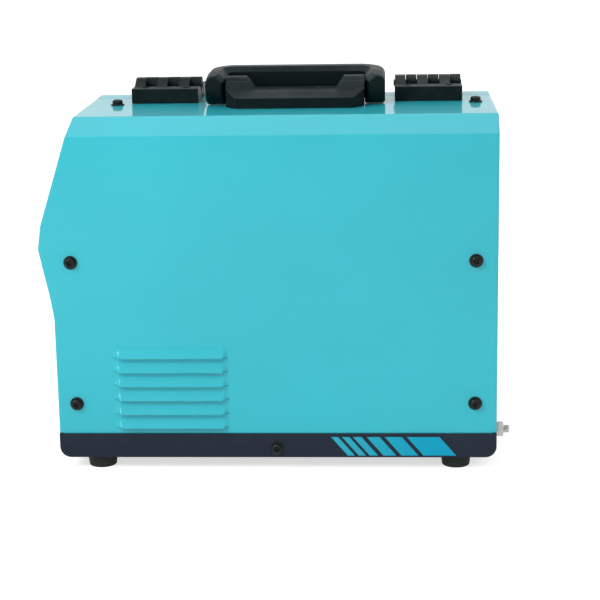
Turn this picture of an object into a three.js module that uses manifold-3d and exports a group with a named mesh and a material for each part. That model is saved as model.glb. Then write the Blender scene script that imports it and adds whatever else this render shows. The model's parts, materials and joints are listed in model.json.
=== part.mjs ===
// Portable wire-feed welding machine in a sheet-metal case. Millimetres, +Z up, ground at z = 0.
// -X is the control end, +X the rear, -Y the screwed-on side and +Y the side with the lift-up door.
import * as THREE from "three";
import { mergeVertices } from "three/addons/utils/BufferGeometryUtils.js";
import Module from "manifold-3d";

const wasm = await Module();
wasm.setup();

// ---- Driving dimensions -------------------------------------------------------------------
// Case
const CASE_LENGTH = 436; // tray, front to rear
const CASE_WIDTH = 215; // tray, over its side walls
const CASE_HEIGHT = 340; // tray bottom to top sheet
const SHEET = 1.5; // folded steel
const TRAY_WALL = 25; // height of the tray's walls
const FLOOR_SLOTS = 6; // cooling slots under the transformer
const FLOOR_SLOT_PITCH = 18;
const TRAY_CORNER = 11; // radius of the tray's lower corners, seen from the side
const CHAMFER_IN = 20; // folded top edge, across
const CHAMFER_DROP = 17; // folded top edge, down
const NOSE_OUT = 14.5; // sharp nose corner in front of the tray
const NOSE_HEIGHT = 220; // sharp nose corner above the tray bottom
const NOSE_RADIUS = 45;
const CHIN_HEIGHT = 149; // where the upright lower front ends
const BROW_SETBACK = 24.3; // front edge of the top sheet behind the tray's front
const SEAM_Y = 55.5; // seam between the fixed top and the door
const SEAM_GAP = 1.5;
const SEAM_HEM = 10; // cover's edge turned down along the seam
const EDGE_RETURN = 9; // depth of the folded-in front and rear edges
// Clearances
const SEAT = 0.3; // between pieces that rest on each other
const RUN = 0.3; // round a pin or a shaft that turns
const DOOR_GAP = 1; // door's lower edge over the tray wall
// Front and rear panels
const FRONT_RECESS = 12;
const REAR_RECESS = 2;
const PANEL_FLANGE = 26;
// Feet
const FOOT_HEIGHT = 13;
const FOOT_RADIUS = 14;
const FOOT_INSET_X = 39.6;
const FOOT_INSET_Y = 20;
// Louvres in the screwed-on side
const LOUVRE_COUNT = 6;
const LOUVRE_PITCH = 14.4;
const LOUVRE_LENGTH = 115.5;
const LOUVRE_RISE = 8;
const LOUVRE_PROUD = 4.6;
const LOUVRE_WALL = 1.2;
const LOUVRE_X = -103.8;
const LOUVRE_TOP = 103.3; // lower lip of the top louvre above the tray bottom
// Cover screws
const SCREW_HEAD_RADIUS = 5.2;
const SCREW_HEAD_HEIGHT = 5.8;
const SCREW_WASHER_RADIUS = 6.8;
const SCREW_WASHER = 1.5;
const SCREW_SHANK_RADIUS = 2.5;
const SCREW_LENGTH = 10;
const SCREW_EDGE_TOP = 18.2; // top screws, from the rear end
const SCREW_ROW_LOW = 56;
const SCREW_ROW_HIGH = 200;
const SCREW_FRONT_X = -199;
const SCREW_REAR_X = 196.5;
const SCREW_TOP_FRONT_X = -162.6;
const SCREW_TOP_Y = 0;
const SCREW_TRAY_HEIGHT = 10.3;
// Block hinges
const HINGE_LENGTH = 68;
const HINGE_PIN_RISE = 13.5; // pin above the top sheet
const HINGE_PIN_RADIUS = 3;
const HINGE_BARREL = 8.5;
const HINGE_BLOCK = 15; // height of a leaf
const HINGE_KNUCKLES = 6;
const HINGE_GAP = 0.6; // between knuckles
const HINGE_X = [-115.2, 152.8];
const HINGE_FRONT_Y = 9; // fixed leaf's outer edge
const HINGE_BACK_Y = 86; // door leaf's outer edge
const HINGE_BACKOFF = 10; // from the pin to the body of a leaf
const HINGE_SLOPE = 25.5; // from the pin to where the fixed knuckles begin to rise
const HINGE_SLOPE_TOP = 11.5; // from the pin to the upper end of that rise
const HINGE_SCREW_WELL = 4.2;
// Folding handle
const HANDLE_X = 19;
const HANDLE_SPAN = 180; // over the arms
const HANDLE_ARM = 20.4;
const HANDLE_PIVOT_Y = -4;
const HANDLE_PIVOT_RISE = 16;
const HANDLE_HUB = 15.5; // arm's round end about the pivot
const HANDLE_BROW = 31.5; // top of the arms' flat front
const HANDLE_BEVEL = 7.2; // slope along the grip's inner edge
const HANDLE_TOP = 34.6;
const HANDLE_REACH = 52.5; // far edge of the bar
const HANDLE_BAR_Y = 26.2; // near edge of the bar
const HANDLE_BAR_FLOOR = 14.6;
const HANDLE_PIN_RADIUS = 4;
const HANDLE_BASE_FRONT = -38.5;
const HANDLE_BASE_BACK = 21.8;
const HANDLE_PLATE = 15.6;
const HANDLE_EAR_TOP = 29;
const HANDLE_EAR_STEP = 25; // ledge in front of the ears
const HANDLE_LIP = 10.2; // upright front edge of the base
const HANDLE_CORNER = 10; // cut-off front corners of the base
const HANDLE_EAR = 20;
const HANDLE_SCREW_SPACING = 49.6;
const HANDLE_SCREW_RADIUS = 7.5;
const HANDLE_SCREW_Y = 4.3;
// Divider and wire drive
const DIVIDER_Y = 8; // near face of the divider
const WIRE_Y = 32; // wire line
const WIRE_HEIGHT = 90; // wire line above the tray bottom
const ROLL_RADIUS = 15;
const ROLL_WIDTH = 14;
const ROLL_GAP = 1; // wire space between the rolls
const ROLL_X = -120;
const FEEDER_LENGTH = 100;
const FEEDER_HEIGHT = 96;
const FEEDER_THICKNESS = 10;
const MOTOR_RADIUS = 27;
const MOTOR_LENGTH = 74;
const ARM_PIVOT_X = -155;
const ARM_PIVOT_RISE = 17; // above the wire line
const ARM_WIDTH = 24;
const TENSION_X = -86;
const TENSION_DROP = 26; // swing pin below the wire line
const TENSION_LENGTH = 64;
const TENSION_REST = 70; // degrees that the screw leans back when it is let go
// Spool holder
const SPOOL_X = 96;
const SPOOL_HEIGHT = 158;
const SPINDLE_RADIUS = 9;
const HUB_RADIUS = 25;
const HUB_LENGTH = 54;
// Door latches
const LATCH_X = 120;
const LATCH_RISE = 21; // above the tray wall
const LATCH_KNOB = 13;
const LATCH_PROUD = 5;
const LATCH_SHAFT = 5;
const LATCH_CAM = 27;
// Control face
const KNOB_RADIUS = 15;
const KNOB_HEIGHT = 15;
const KNOB_SHAFT = 3;
const KNOB_ROW = -20;
const KNOB_PITCH = 46;
const DISPLAY_WIDTH = 96;
const DISPLAY_HEIGHT = 32;
const DISPLAY_ROW = 28;
const SWITCH_COLUMN = 72;
const ROCKER_TILT = 10;
// Front sockets
const OUTPUT_SOCKET_Y = [-28, -74];
const OUTPUT_SOCKET_HEIGHT = 64;
const OUTPUT_SOCKET_RADIUS = 18;
const OUTPUT_NECK = 13; // body behind the collar
const OUTPUT_BORE = 6.5;
const TORCH_SOCKET_RADIUS = 21;
const TORCH_NECK = 14; // body behind the collar
const TORCH_BORE = 6;
// Rear fittings
const FAN_SIZE = 92;
const FAN_DEPTH = 25;
const FAN_Y = -48;
const FAN_HEIGHT = 214;
const FAN_BLADES = 7;
const FAN_HUB = 17;
const FAN_PITCH = 0.75; // radians
const GRILLE_RINGS = 4;
const GRILLE_WIRE = 1.3;
const GLAND_Y = 78;
const GLAND_HEIGHT = 52;
const GAS_HEIGHT = 110;
const POWER_SWITCH_Y = 52;
const POWER_SWITCH_HEIGHT = 268;
const EARTH_Y = -67.5;
const EARTH_HEIGHT = 17;
const EARTH_STUD = 4;
const EARTH_STUD_PROUD = 14.7;
// Inner electrics
const CORE_LENGTH = 96;
const CORE_WIDTH = 40;
const CORE_HEIGHT = 84;
const TRANSFORMER_X = 92;
const REACTOR_X = -34;
const INNER_Y = -50;
const SINK_X = -20;
const SINK_LENGTH = 190;
const SINK_HEIGHT = 118;
const SINK_FINS = 9;
const SINK_DEPTH = 40;
const SINK_FLOOR = 150;

// ---- Derived places -----------------------------------------------------------------------
const TRAY_BOTTOM = FOOT_HEIGHT;
const FLOOR = TRAY_BOTTOM + SHEET;
const TOP = TRAY_BOTTOM + CASE_HEIGHT;
const HALF_LENGTH = CASE_LENGTH / 2;
const FAR_FACE = CASE_WIDTH / 2; // door skin, flush with the tray wall
const NEAR_FACE = FAR_FACE - SHEET - SEAT; // cover skin, tucked inside the tray wall
const TRAY_RIM = TRAY_BOTTOM + TRAY_WALL;
const PIN_Z = TOP + HINGE_PIN_RISE;
const DIVIDER_FAR = DIVIDER_Y + SHEET;
const WIRE_Z = TRAY_BOTTOM + WIRE_HEIGHT;
const FEEDER_FACE = DIVIDER_FAR + SEAT + FEEDER_THICKNESS;
const DRIVE_ROLL_Z = WIRE_Z - ROLL_GAP / 2 - ROLL_RADIUS;
const PRESSURE_ROLL_Z = WIRE_Z + ROLL_GAP / 2 + ROLL_RADIUS;
const TURNS = 12; // facets round a plain cylinder
const ARC = 2; // steps in a rounded corner, each drawn as two facets
const REAR_FACE = HALF_LENGTH - REAR_RECESS;
const LOWER_FACE = -HALF_LENGTH + FRONT_RECESS;

// Front line of the case seen from the side: [x, height above the tray bottom, radius].
const FRONT_LINE = [
  [-HALF_LENGTH, CHIN_HEIGHT, 30],
  [-HALF_LENGTH - NOSE_OUT, NOSE_HEIGHT, NOSE_RADIUS],
  [-HALF_LENGTH + BROW_SETBACK, CASE_HEIGHT, 0],
];

// ---- Solid helpers ------------------------------------------------------------------------
// Closed solid from a three.js geometry, with shared corners joined and slivers dropped.
function solid(geometry) {
  const bare = new THREE.BufferGeometry();
  bare.setAttribute("position", geometry.getAttribute("position").clone());
  if (geometry.index) bare.setIndex(geometry.index.clone());
  const merged = mergeVertices(bare, 1e-4);
  const kept = [];
  const index = merged.index.array;
  for (let i = 0; i < index.length; i += 3) {
    const [a, b, c] = [index[i], index[i + 1], index[i + 2]];
    if (a !== b && b !== c && a !== c) kept.push(a, b, c);
  }
  const vertProperties = new Float32Array(merged.getAttribute("position").array);
  return new wasm.Manifold(new wasm.Mesh({ numProp: 3, vertProperties, triVerts: new Uint32Array(kept) }));
}

// A solid's triangles as a geometry for a mesh.
function geometryOf(body) {
  const mesh = body.getMesh();
  const geometry = new THREE.BufferGeometry();
  geometry.setAttribute("position", new THREE.BufferAttribute(new Float32Array(mesh.vertProperties), 3));
  geometry.setIndex(new THREE.BufferAttribute(new Uint32Array(mesh.triVerts), 1));
  geometry.computeVertexNormals();
  return geometry;
}

const union = (first, ...others) => others.reduce((sum, item) => sum.add(item), first);
const cut = (first, ...others) => others.reduce((rest, item) => rest.subtract(item), first);

// Box between two corners.
function block([x0, x1], [y0, y1], [z0, z1]) {
  const geometry = new THREE.BoxGeometry(x1 - x0, y1 - y0, z1 - z0);
  geometry.translate((x0 + x1) / 2, (y0 + y1) / 2, (z0 + z1) / 2);
  return solid(geometry);
}

// Closed outline through [u, v, radius] corners, each rounded by its own radius.
function outline(corners) {
  const shape = new THREE.Shape();
  corners.forEach(([u, v, radius = 0], i) => {
    const [u0, v0] = corners[(i + corners.length - 1) % corners.length];
    const [u1, v1] = corners[(i + 1) % corners.length];
    const corner = new THREE.Vector2(u, v);
    const back = new THREE.Vector2(u0 - u, v0 - v).normalize();
    const ahead = new THREE.Vector2(u1 - u, v1 - v).normalize();
    const half = back.angleTo(ahead) / 2;
    const start = corner.clone().addScaledVector(back, radius / Math.tan(half));
    const end = corner.clone().addScaledVector(ahead, radius / Math.tan(half));
    if (i === 0) shape.moveTo(start.x, start.y);
    else shape.lineTo(start.x, start.y);
    if (radius === 0) return;
    const inward = back.clone().add(ahead).normalize();
    const centre = corner.clone().addScaledVector(inward, radius / Math.sin(half));
    const from = start.clone().sub(centre).angle();
    const to = end.clone().sub(centre).angle();
    shape.absarc(centre.x, centre.y, radius, from, to, back.cross(ahead) > 0);
  });
  shape.closePath();
  return shape;
}

function extruded(shape, depth, segments) {
  return new THREE.ExtrudeGeometry(shape, { depth, bevelEnabled: false, curveSegments: segments });
}

// Prisms of an outline: prismX takes (y, z), prismY takes (x, z) and prismZ takes (x, y).
function prismX(shape, [x0, x1], segments = ARC) {
  const basis = new THREE.Matrix4().set(0, 0, 1, x0, 1, 0, 0, 0, 0, 1, 0, 0, 0, 0, 0, 1);
  return solid(extruded(shape, x1 - x0, segments).applyMatrix4(basis));
}
function prismY(shape, [y0, y1], segments = ARC) {
  const basis = new THREE.Matrix4().set(1, 0, 0, 0, 0, 0, -1, y1, 0, 1, 0, 0, 0, 0, 0, 1);
  return solid(extruded(shape, y1 - y0, segments).applyMatrix4(basis));
}
function prismZ(shape, [z0, z1], segments = ARC) {
  return solid(extruded(shape, z1 - z0, segments).translate(0, 0, z0));
}

// Turn from the Y axis, round which three.js revolves, to the named axis.
const AXIS_TURN = {
  x: new THREE.Matrix4().makeRotationZ(-Math.PI / 2),
  y: new THREE.Matrix4(),
  z: new THREE.Matrix4().makeRotationX(Math.PI / 2),
};

// Revolved solid about an axis through centre; profile is [radius, height] from axis to axis.
function turned(axis, profile, centre = [0, 0, 0], segments = TURNS) {
  const points = profile.map(([radius, height]) => new THREE.Vector2(radius, height));
  if (THREE.ShapeUtils.isClockWise(points)) points.reverse();
  const geometry = new THREE.LatheGeometry(points, segments);
  return solid(geometry.applyMatrix4(AXIS_TURN[axis]).translate(...centre));
}

// Revolved ring: a closed profile that stays clear of the axis.
function ring(axis, profile, centre = [0, 0, 0], segments = TURNS) {
  return turned(axis, [...profile, profile[0]], centre, segments);
}

// Round bar between two heights on an axis through centre.
function rod(axis, radius, [from, to], centre = [0, 0, 0], segments = TURNS) {
  return turned(axis, [[0, from], [radius, from], [radius, to], [0, to]], centre, segments);
}

function rectangle([u0, u1], [v0, v1], radius = 0) {
  return outline([[u0, v0, radius], [u1, v0, radius], [u1, v1, radius], [u0, v1, radius]]);
}

function placedSolid(body, matrix) {
  return solid(geometryOf(body).applyMatrix4(matrix));
}

// Open run of points moved sideways, to its right, with mitred corners.
function offsetRun(points, distance) {
  const rightOf = ([u0, v0], [u1, v1]) => new THREE.Vector2(v1 - v0, u0 - u1).normalize();
  return points.map((point, i) => {
    const before = rightOf(points[Math.max(i - 1, 0)], points[Math.max(i, 1)]);
    const last = points.length - 1;
    const after = rightOf(points[Math.min(i, last - 1)], points[Math.min(i + 1, last)]);
    const mitre = before.clone().add(after).normalize();
    const reach = distance / mitre.dot(before);
    return [point[0] + mitre.x * reach, point[1] + mitre.y * reach];
  });
}

// Folded sheet: a run of points given a thickness on its right-hand side.
function folded(points, thickness) {
  return outline([...points, ...offsetRun(points, thickness).reverse()]);
}

// ---- Pieces -------------------------------------------------------------------------------
const FINISHES = {
  turquoise: { color: 0x49c4d6, roughness: 0.32, metalness: 0.1 },
  navy: { color: 0x323c4e, roughness: 0.4, metalness: 0.1 },
  blackPlastic: { color: 0x16201f, roughness: 0.5, metalness: 0 },
  rubber: { color: 0x121212, roughness: 0.85, metalness: 0 },
  zinc: { color: 0xb9bcb8, roughness: 0.35, metalness: 0.9 },
  blackSteel: { color: 0x1c1d1f, roughness: 0.4, metalness: 0.6 },
  brass: { color: 0xb5903f, roughness: 0.3, metalness: 0.95 },
  aluminium: { color: 0xa9adb0, roughness: 0.45, metalness: 0.9 },
  greyPlastic: { color: 0x5b6064, roughness: 0.55, metalness: 0 },
  redPlastic: { color: 0xb3261e, roughness: 0.4, metalness: 0 },
  laminations: { color: 0x4a4743, roughness: 0.6, metalness: 0.5 },
  board: { color: 0x1f5a36, roughness: 0.5, metalness: 0 },
  window: { color: 0x20262b, roughness: 0.1, metalness: 0 },
};

// Named mesh of a solid, in its own finish, at its place.
function piece(name, finish, body, position = [0, 0, 0]) {
  const mesh = new THREE.Mesh(geometryOf(body), new THREE.MeshStandardMaterial(FINISHES[finish]));
  mesh.name = name;
  mesh.position.set(...position);
  return mesh;
}

const machine = new THREE.Group();
const add = (...items) => machine.add(...items);

// ---- Case ---------------------------------------------------------------------------------
// Side view of the case from its front line to the rear end, between two heights.
function sideView(bottom, shift = 0, rear = HALF_LENGTH) {
  const front = FRONT_LINE.map(([x, height, radius]) => [x + shift, TRAY_BOTTOM + height, radius]);
  return outline([[rear, bottom], [rear, TOP], ...front.reverse(), [-HALF_LENGTH + shift, bottom]]);
}

// Run over the case, seen from the front: up the near side, across the top, down the far side.
function overCase(bottom) {
  const bend = TOP - CHAMFER_DROP;
  return [
    [-NEAR_FACE, bottom], [-NEAR_FACE, bend], [-NEAR_FACE + CHAMFER_IN, TOP],
    [FAR_FACE - CHAMFER_IN, TOP], [FAR_FACE, bend], [FAR_FACE, bottom],
  ];
}

// Filled cross-section of the case, set in from the outer skin.
function insideCase(inset, bottom, [x0, x1]) {
  return prismX(outline(offsetRun(overCase(bottom), inset)), [x0, x1]);
}

const ALL_X = [-HALF_LENGTH - NOSE_OUT - 5, HALF_LENGTH + 5];

// Side view of the tray, set in from its outer faces and open past its rim.
function traySide(inset) {
  const half = HALF_LENGTH - inset;
  const rim = TRAY_RIM + inset;
  return outline([
    [-half, rim], [-half, TRAY_BOTTOM + inset, TRAY_CORNER - inset],
    [half, TRAY_BOTTOM + inset, TRAY_CORNER - inset], [half, rim],
  ]);
}

// Everything that stands in the tray is cut back to its inside, less the seat gap.
function outsideTray() {
  const inside = prismY(traySide(SHEET + SEAT), [-NEAR_FACE, NEAR_FACE]);
  return block(ALL_X, [-CASE_WIDTH, CASE_WIDTH], [0, TRAY_RIM + SEAT]).subtract(inside);
}

function baseTray() {
  const half = HALF_LENGTH;
  const outer = prismY(traySide(0), [-FAR_FACE, FAR_FACE]);
  const hollow = prismY(traySide(SHEET), [-FAR_FACE + SHEET, FAR_FACE - SHEET]);
  const shelf = block([-half + SHEET / 2, LOWER_FACE - SEAT],
    [-NEAR_FACE + SHEET + SEAT, FAR_FACE - SHEET / 2], [TRAY_RIM - SHEET, TRAY_RIM]);
  let tray = union(cut(outer, hollow), shelf);
  for (let i = 0; i < FLOOR_SLOTS; i += 1) {
    const x = TRANSFORMER_X + (i - (FLOOR_SLOTS - 1) / 2) * FLOOR_SLOT_PITCH;
    const slot = rectangle([x - 3, x + 3], [INNER_Y - 22, INNER_Y + 22], 2.9);
    tray = cut(tray, prismZ(slot, [TRAY_BOTTOM - 1, FLOOR + 1], 1));
  }
  const stud = rod("x", EARTH_STUD + SEAT, [half - 3, half + 1], [0, EARTH_Y, TRAY_BOTTOM + EARTH_HEIGHT]);
  const screw = rod("y", SCREW_SHANK_RADIUS + SEAT, [-FAR_FACE - 1, -FAR_FACE + 3],
    [0, 0, TRAY_BOTTOM + SCREW_TRAY_HEIGHT], 10);
  return piece("base_tray", "navy", cut(tray, stud, screw));
}

// Rubber foot with a screw well underneath.
function foot(name, x, y) {
  const profile = [
    [0, 6], [4.5, 6], [4.5, 0], [FOOT_RADIUS - 3.5, 0], [FOOT_RADIUS - 1.2, 1.6],
    [FOOT_RADIUS, FOOT_HEIGHT - 6], [FOOT_RADIUS, FOOT_HEIGHT - SEAT], [0, FOOT_HEIGHT - SEAT],
  ];
  return piece(name, "rubber", turned("z", profile), [x, y, 0]);
}

// One pressed louvre: a hood with rounded ends that opens downwards, and the slot behind it.
function louvre(height) {
  const lift = LOUVRE_PROUD + SHEET;
  const reach = 2 * LOUVRE_RISE;
  const capsule = (shrink) => {
    const radius = LOUVRE_RISE - shrink;
    const geometry = new THREE.CapsuleGeometry(radius, LOUVRE_LENGTH - 2 * LOUVRE_RISE, 2, 10);
    geometry.rotateZ(Math.PI / 2).scale(1, (lift - shrink) / radius, 1);
    return solid(geometry.translate(LOUVRE_X, -NEAR_FACE + SHEET, height));
  };
  const above = block(ALL_X, [-NEAR_FACE - reach, -NEAR_FACE + reach], [height, height + reach]);
  const outward = block(ALL_X, [-NEAR_FACE - reach, -NEAR_FACE + SHEET], [height, height + reach]);
  const hollow = capsule(LOUVRE_WALL).intersect(above);
  return { hood: capsule(0).intersect(outward).subtract(hollow), hollow };
}

const screwPlaces = [
  { name: "side_screw_front_low", axis: "y", at: [SCREW_FRONT_X, -NEAR_FACE, TRAY_BOTTOM + SCREW_ROW_LOW] },
  { name: "side_screw_front_high", axis: "y", at: [SCREW_FRONT_X, -NEAR_FACE, TRAY_BOTTOM + SCREW_ROW_HIGH] },
  { name: "side_screw_rear_low", axis: "y", at: [SCREW_REAR_X, -NEAR_FACE, TRAY_BOTTOM + SCREW_ROW_LOW] },
  { name: "side_screw_rear_high", axis: "y", at: [SCREW_REAR_X, -NEAR_FACE, TRAY_BOTTOM + SCREW_ROW_HIGH] },
  { name: "tray_screw", axis: "y", at: [0, -FAR_FACE, TRAY_BOTTOM + SCREW_TRAY_HEIGHT] },
  { name: "top_screw_front", axis: "z", at: [SCREW_TOP_FRONT_X, SCREW_TOP_Y, TOP] },
  { name: "top_screw_rear", axis: "z", at: [HALF_LENGTH - SCREW_EDGE_TOP, SCREW_TOP_Y, TOP] },
];

// Clearance hole for each cover screw, through whatever lies under its head.
function screwHoles() {
  const radius = SCREW_SHANK_RADIUS + SEAT;
  return screwPlaces.map(({ axis, at }) => {
    const span = axis === "y" ? [-4, SCREW_LENGTH + 1] : [-SCREW_LENGTH - 1, 4];
    return rod(axis, radius, span, at, 10);
  });
}

// Pan head with a fixed washer.
function coverScrew({ name, axis, at }) {
  const profile = [
    [0, -SCREW_LENGTH], [SCREW_SHANK_RADIUS, -SCREW_LENGTH], [SCREW_SHANK_RADIUS, SEAT],
    [SCREW_WASHER_RADIUS, SEAT], [SCREW_WASHER_RADIUS, SCREW_WASHER], [SCREW_HEAD_RADIUS, SCREW_WASHER],
    [SCREW_HEAD_RADIUS, SCREW_HEAD_HEIGHT - 1.2], [SCREW_HEAD_RADIUS - 1.5, SCREW_HEAD_HEIGHT],
    [0, SCREW_HEAD_HEIGHT],
  ];
  const mesh = piece(name, "blackSteel", turned("z", profile, [0, 0, 0], 9), at);
  if (axis === "y") mesh.rotation.x = Math.PI / 2;
  return mesh;
}

function sideCover() {
  const bottom = FLOOR + SEAT;
  const seam = SEAM_Y - SEAM_GAP / 2;
  const run = overCase(bottom).slice(0, 3).concat([[seam, TOP], [seam, TOP - SEAM_HEM]]);
  const view = prismY(sideView(bottom), [-CASE_WIDTH, CASE_WIDTH]);
  const rimmed = cut(view, prismY(sideView(0, SHEET, HALF_LENGTH + 9), [-CASE_WIDTH, CASE_WIDTH]));
  const skin = prismX(folded(run, SHEET), ALL_X).intersect(view);
  const returnRun = overCase(TRAY_RIM + 2).slice(0, 3).concat([[seam, TOP]]);
  const edge = prismX(folded(returnRun, EDGE_RETURN), ALL_X).intersect(rimmed);
  let cover = union(skin, edge).subtract(outsideTray());
  for (let i = 0; i < LOUVRE_COUNT; i += 1) {
    const { hood, hollow } = louvre(TRAY_BOTTOM + LOUVRE_TOP - i * LOUVRE_PITCH);
    cover = cover.subtract(hollow).add(hood);
  }
  return piece("side_cover", "turquoise", cut(cover, ...screwHoles()));
}

function doorPanel() {
  const bottom = TRAY_RIM + DOOR_GAP;
  const run = [[SEAM_Y + SEAM_GAP / 2, TOP], ...overCase(bottom).slice(3)];
  const wide = [-CASE_WIDTH, CASE_WIDTH];
  const view = prismY(sideView(bottom), wide);
  const rim = cut(view, prismY(sideView(0, SHEET, HALF_LENGTH - SHEET), wide));
  const skin = prismX(folded(run, SHEET), ALL_X).intersect(view);
  const edge = prismX(folded(run, EDGE_RETURN), ALL_X).intersect(rim);
  const holes = [-LATCH_X, LATCH_X].map((x) => rod("y", LATCH_SHAFT + RUN, [FAR_FACE - 5, FAR_FACE + 2],
    [x, 0, TRAY_RIM + LATCH_RISE]));
  return piece("door", "turquoise", cut(union(skin, edge), ...holes));
}

// Quarter-turn latch: slotted knob outside, shaft through the door and a cam blade behind it.
// At rest the cam lies level, clear of the tray wall; a quarter turn drops it behind the wall.
function doorLatch(name, x) {
  const inside = -SHEET - SEAT;
  const knob = turned("y", [
    [0, inside - SHEET], [LATCH_SHAFT, inside - SHEET], [LATCH_SHAFT, SEAT], [LATCH_KNOB, SEAT],
    [LATCH_KNOB, 1.8], [LATCH_KNOB - 2, LATCH_PROUD - 1], [LATCH_KNOB - 3, LATCH_PROUD], [0, LATCH_PROUD],
  ]);
  const cam = prismY(rectangle([-8, LATCH_CAM], [-8, 8], 5), [inside - SHEET, inside]);
  const finger = block([-LATCH_KNOB + 5, LATCH_KNOB - 5], [2.2, LATCH_PROUD + 1], [-1.6, 1.6]);
  return piece(name, "blackPlastic", cut(union(knob, cam), finger), [x, FAR_FACE, TRAY_RIM + LATCH_RISE]);
}

// ---- Block hinges -------------------------------------------------------------------------
// Spans of the knuckles along the pin; the even ones belong to the fixed leaf.
function knuckleSpans(first) {
  const pitch = HINGE_LENGTH / HINGE_KNUCKLES;
  const spans = [];
  for (let i = first; i < HINGE_KNUCKLES; i += 2) {
    const start = i * pitch - HINGE_LENGTH / 2;
    spans.push([start + HINGE_GAP / 2, start + pitch - HINGE_GAP / 2]);
  }
  return spans;
}

const HINGE_SEAT = -HINGE_PIN_RISE + SEAT;
const HINGE_PAD = -HINGE_PIN_RISE + HINGE_BLOCK;

// Fixed leaf in the pin's own frame, towards -Y: a block whose own knuckles rise from it in a flat
// slope, scooped out behind its top under the other leaf's barrels.
const fixedLeaf = {
  first: 0,
  side: -1,
  reach: SEAM_Y - HINGE_FRONT_Y,
  pad: (far) => [
    [far, HINGE_SEAT], [far, HINGE_PAD], [HINGE_SLOPE, HINGE_PAD], [HINGE_SLOPE_TOP, HINGE_SEAT + 5],
    [HINGE_BACKOFF, HINGE_SEAT + 5], [HINGE_BACKOFF, HINGE_SEAT],
  ],
  knuckle: [
    [HINGE_SLOPE, HINGE_SEAT], [HINGE_SLOPE, HINGE_PAD], [HINGE_SLOPE_TOP, HINGE_BARREL, 2],
    [0, HINGE_BARREL], [0, HINGE_SEAT],
  ],
};

// Door leaf in the pin's own frame, towards +Y: a lower block with round knuckles.
const doorLeaf = {
  first: 1,
  side: 1,
  reach: HINGE_BACK_Y - SEAM_Y,
  pad: (far) => [
    [far, HINGE_SEAT], [far, HINGE_PAD - 1.5], [HINGE_BACKOFF, HINGE_PAD - 1.5],
    [HINGE_BACKOFF, HINGE_SEAT],
  ],
  knuckle: [[HINGE_BACKOFF + 1, HINGE_SEAT], [HINGE_BACKOFF + 1, -1], [0, -1], [0, HINGE_SEAT]],
};

function hingeLeaf({ first, side, reach, pad, knuckle }) {
  const half = HINGE_LENGTH / 2;
  const sided = (corners) => outline(corners.map(([u, v, radius]) => [side * u, v, radius]));
  let leaf = prismX(sided(pad(reach)), [-half, half]);
  knuckleSpans(first).forEach((span) => {
    leaf = union(leaf, rod("x", HINGE_BARREL, span), prismX(sided(knuckle), span));
  });
  const wellPlace = side * (HINGE_BACKOFF + (reach - HINGE_BACKOFF) * 0.7);
  const wells = [-0.31, 0.31].map((k) => rod("z", HINGE_SCREW_WELL, [HINGE_PAD - 5, HINGE_PAD + 1],
    [k * HINGE_LENGTH, wellPlace, 0], 8));
  const bore = rod("x", HINGE_PIN_RADIUS + RUN, [-half - 1, half + 1]);
  return cut(leaf, bore, ...wells);
}

function blockHinge(label, x) {
  const place = [x, SEAM_Y, PIN_Z];
  const head = HINGE_PIN_RADIUS + 0.8;
  const half = HINGE_LENGTH / 2;
  const pin = turned("x", [
    [0, -half - 1.2], [head, -half - 1.2], [head, -half - SEAT + 0.1], [HINGE_PIN_RADIUS, -half - SEAT + 0.1],
    [HINGE_PIN_RADIUS, half], [HINGE_PIN_RADIUS - 0.8, half + 0.8], [0, half + 0.8],
  ]);
  add(
    piece(`hinge_${label}_fixed_leaf`, "blackPlastic", hingeLeaf(fixedLeaf), place),
    piece(`hinge_${label}_door_leaf`, "blackPlastic", hingeLeaf(doorLeaf), place),
    piece(`hinge_${label}_pin`, "zinc", pin, place),
  );
}

// ---- Folding handle -----------------------------------------------------------------------
// Both parts are drawn from the handle's middle on the top sheet, seat gap included.
const ACROSS_HANDLE = [-HANDLE_SPAN, HANDLE_SPAN];

function handleBore() {
  return rod("x", HANDLE_PIN_RADIUS + RUN, ACROSS_HANDLE, [0, HANDLE_PIVOT_Y, HANDLE_PIVOT_RISE]);
}

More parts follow.
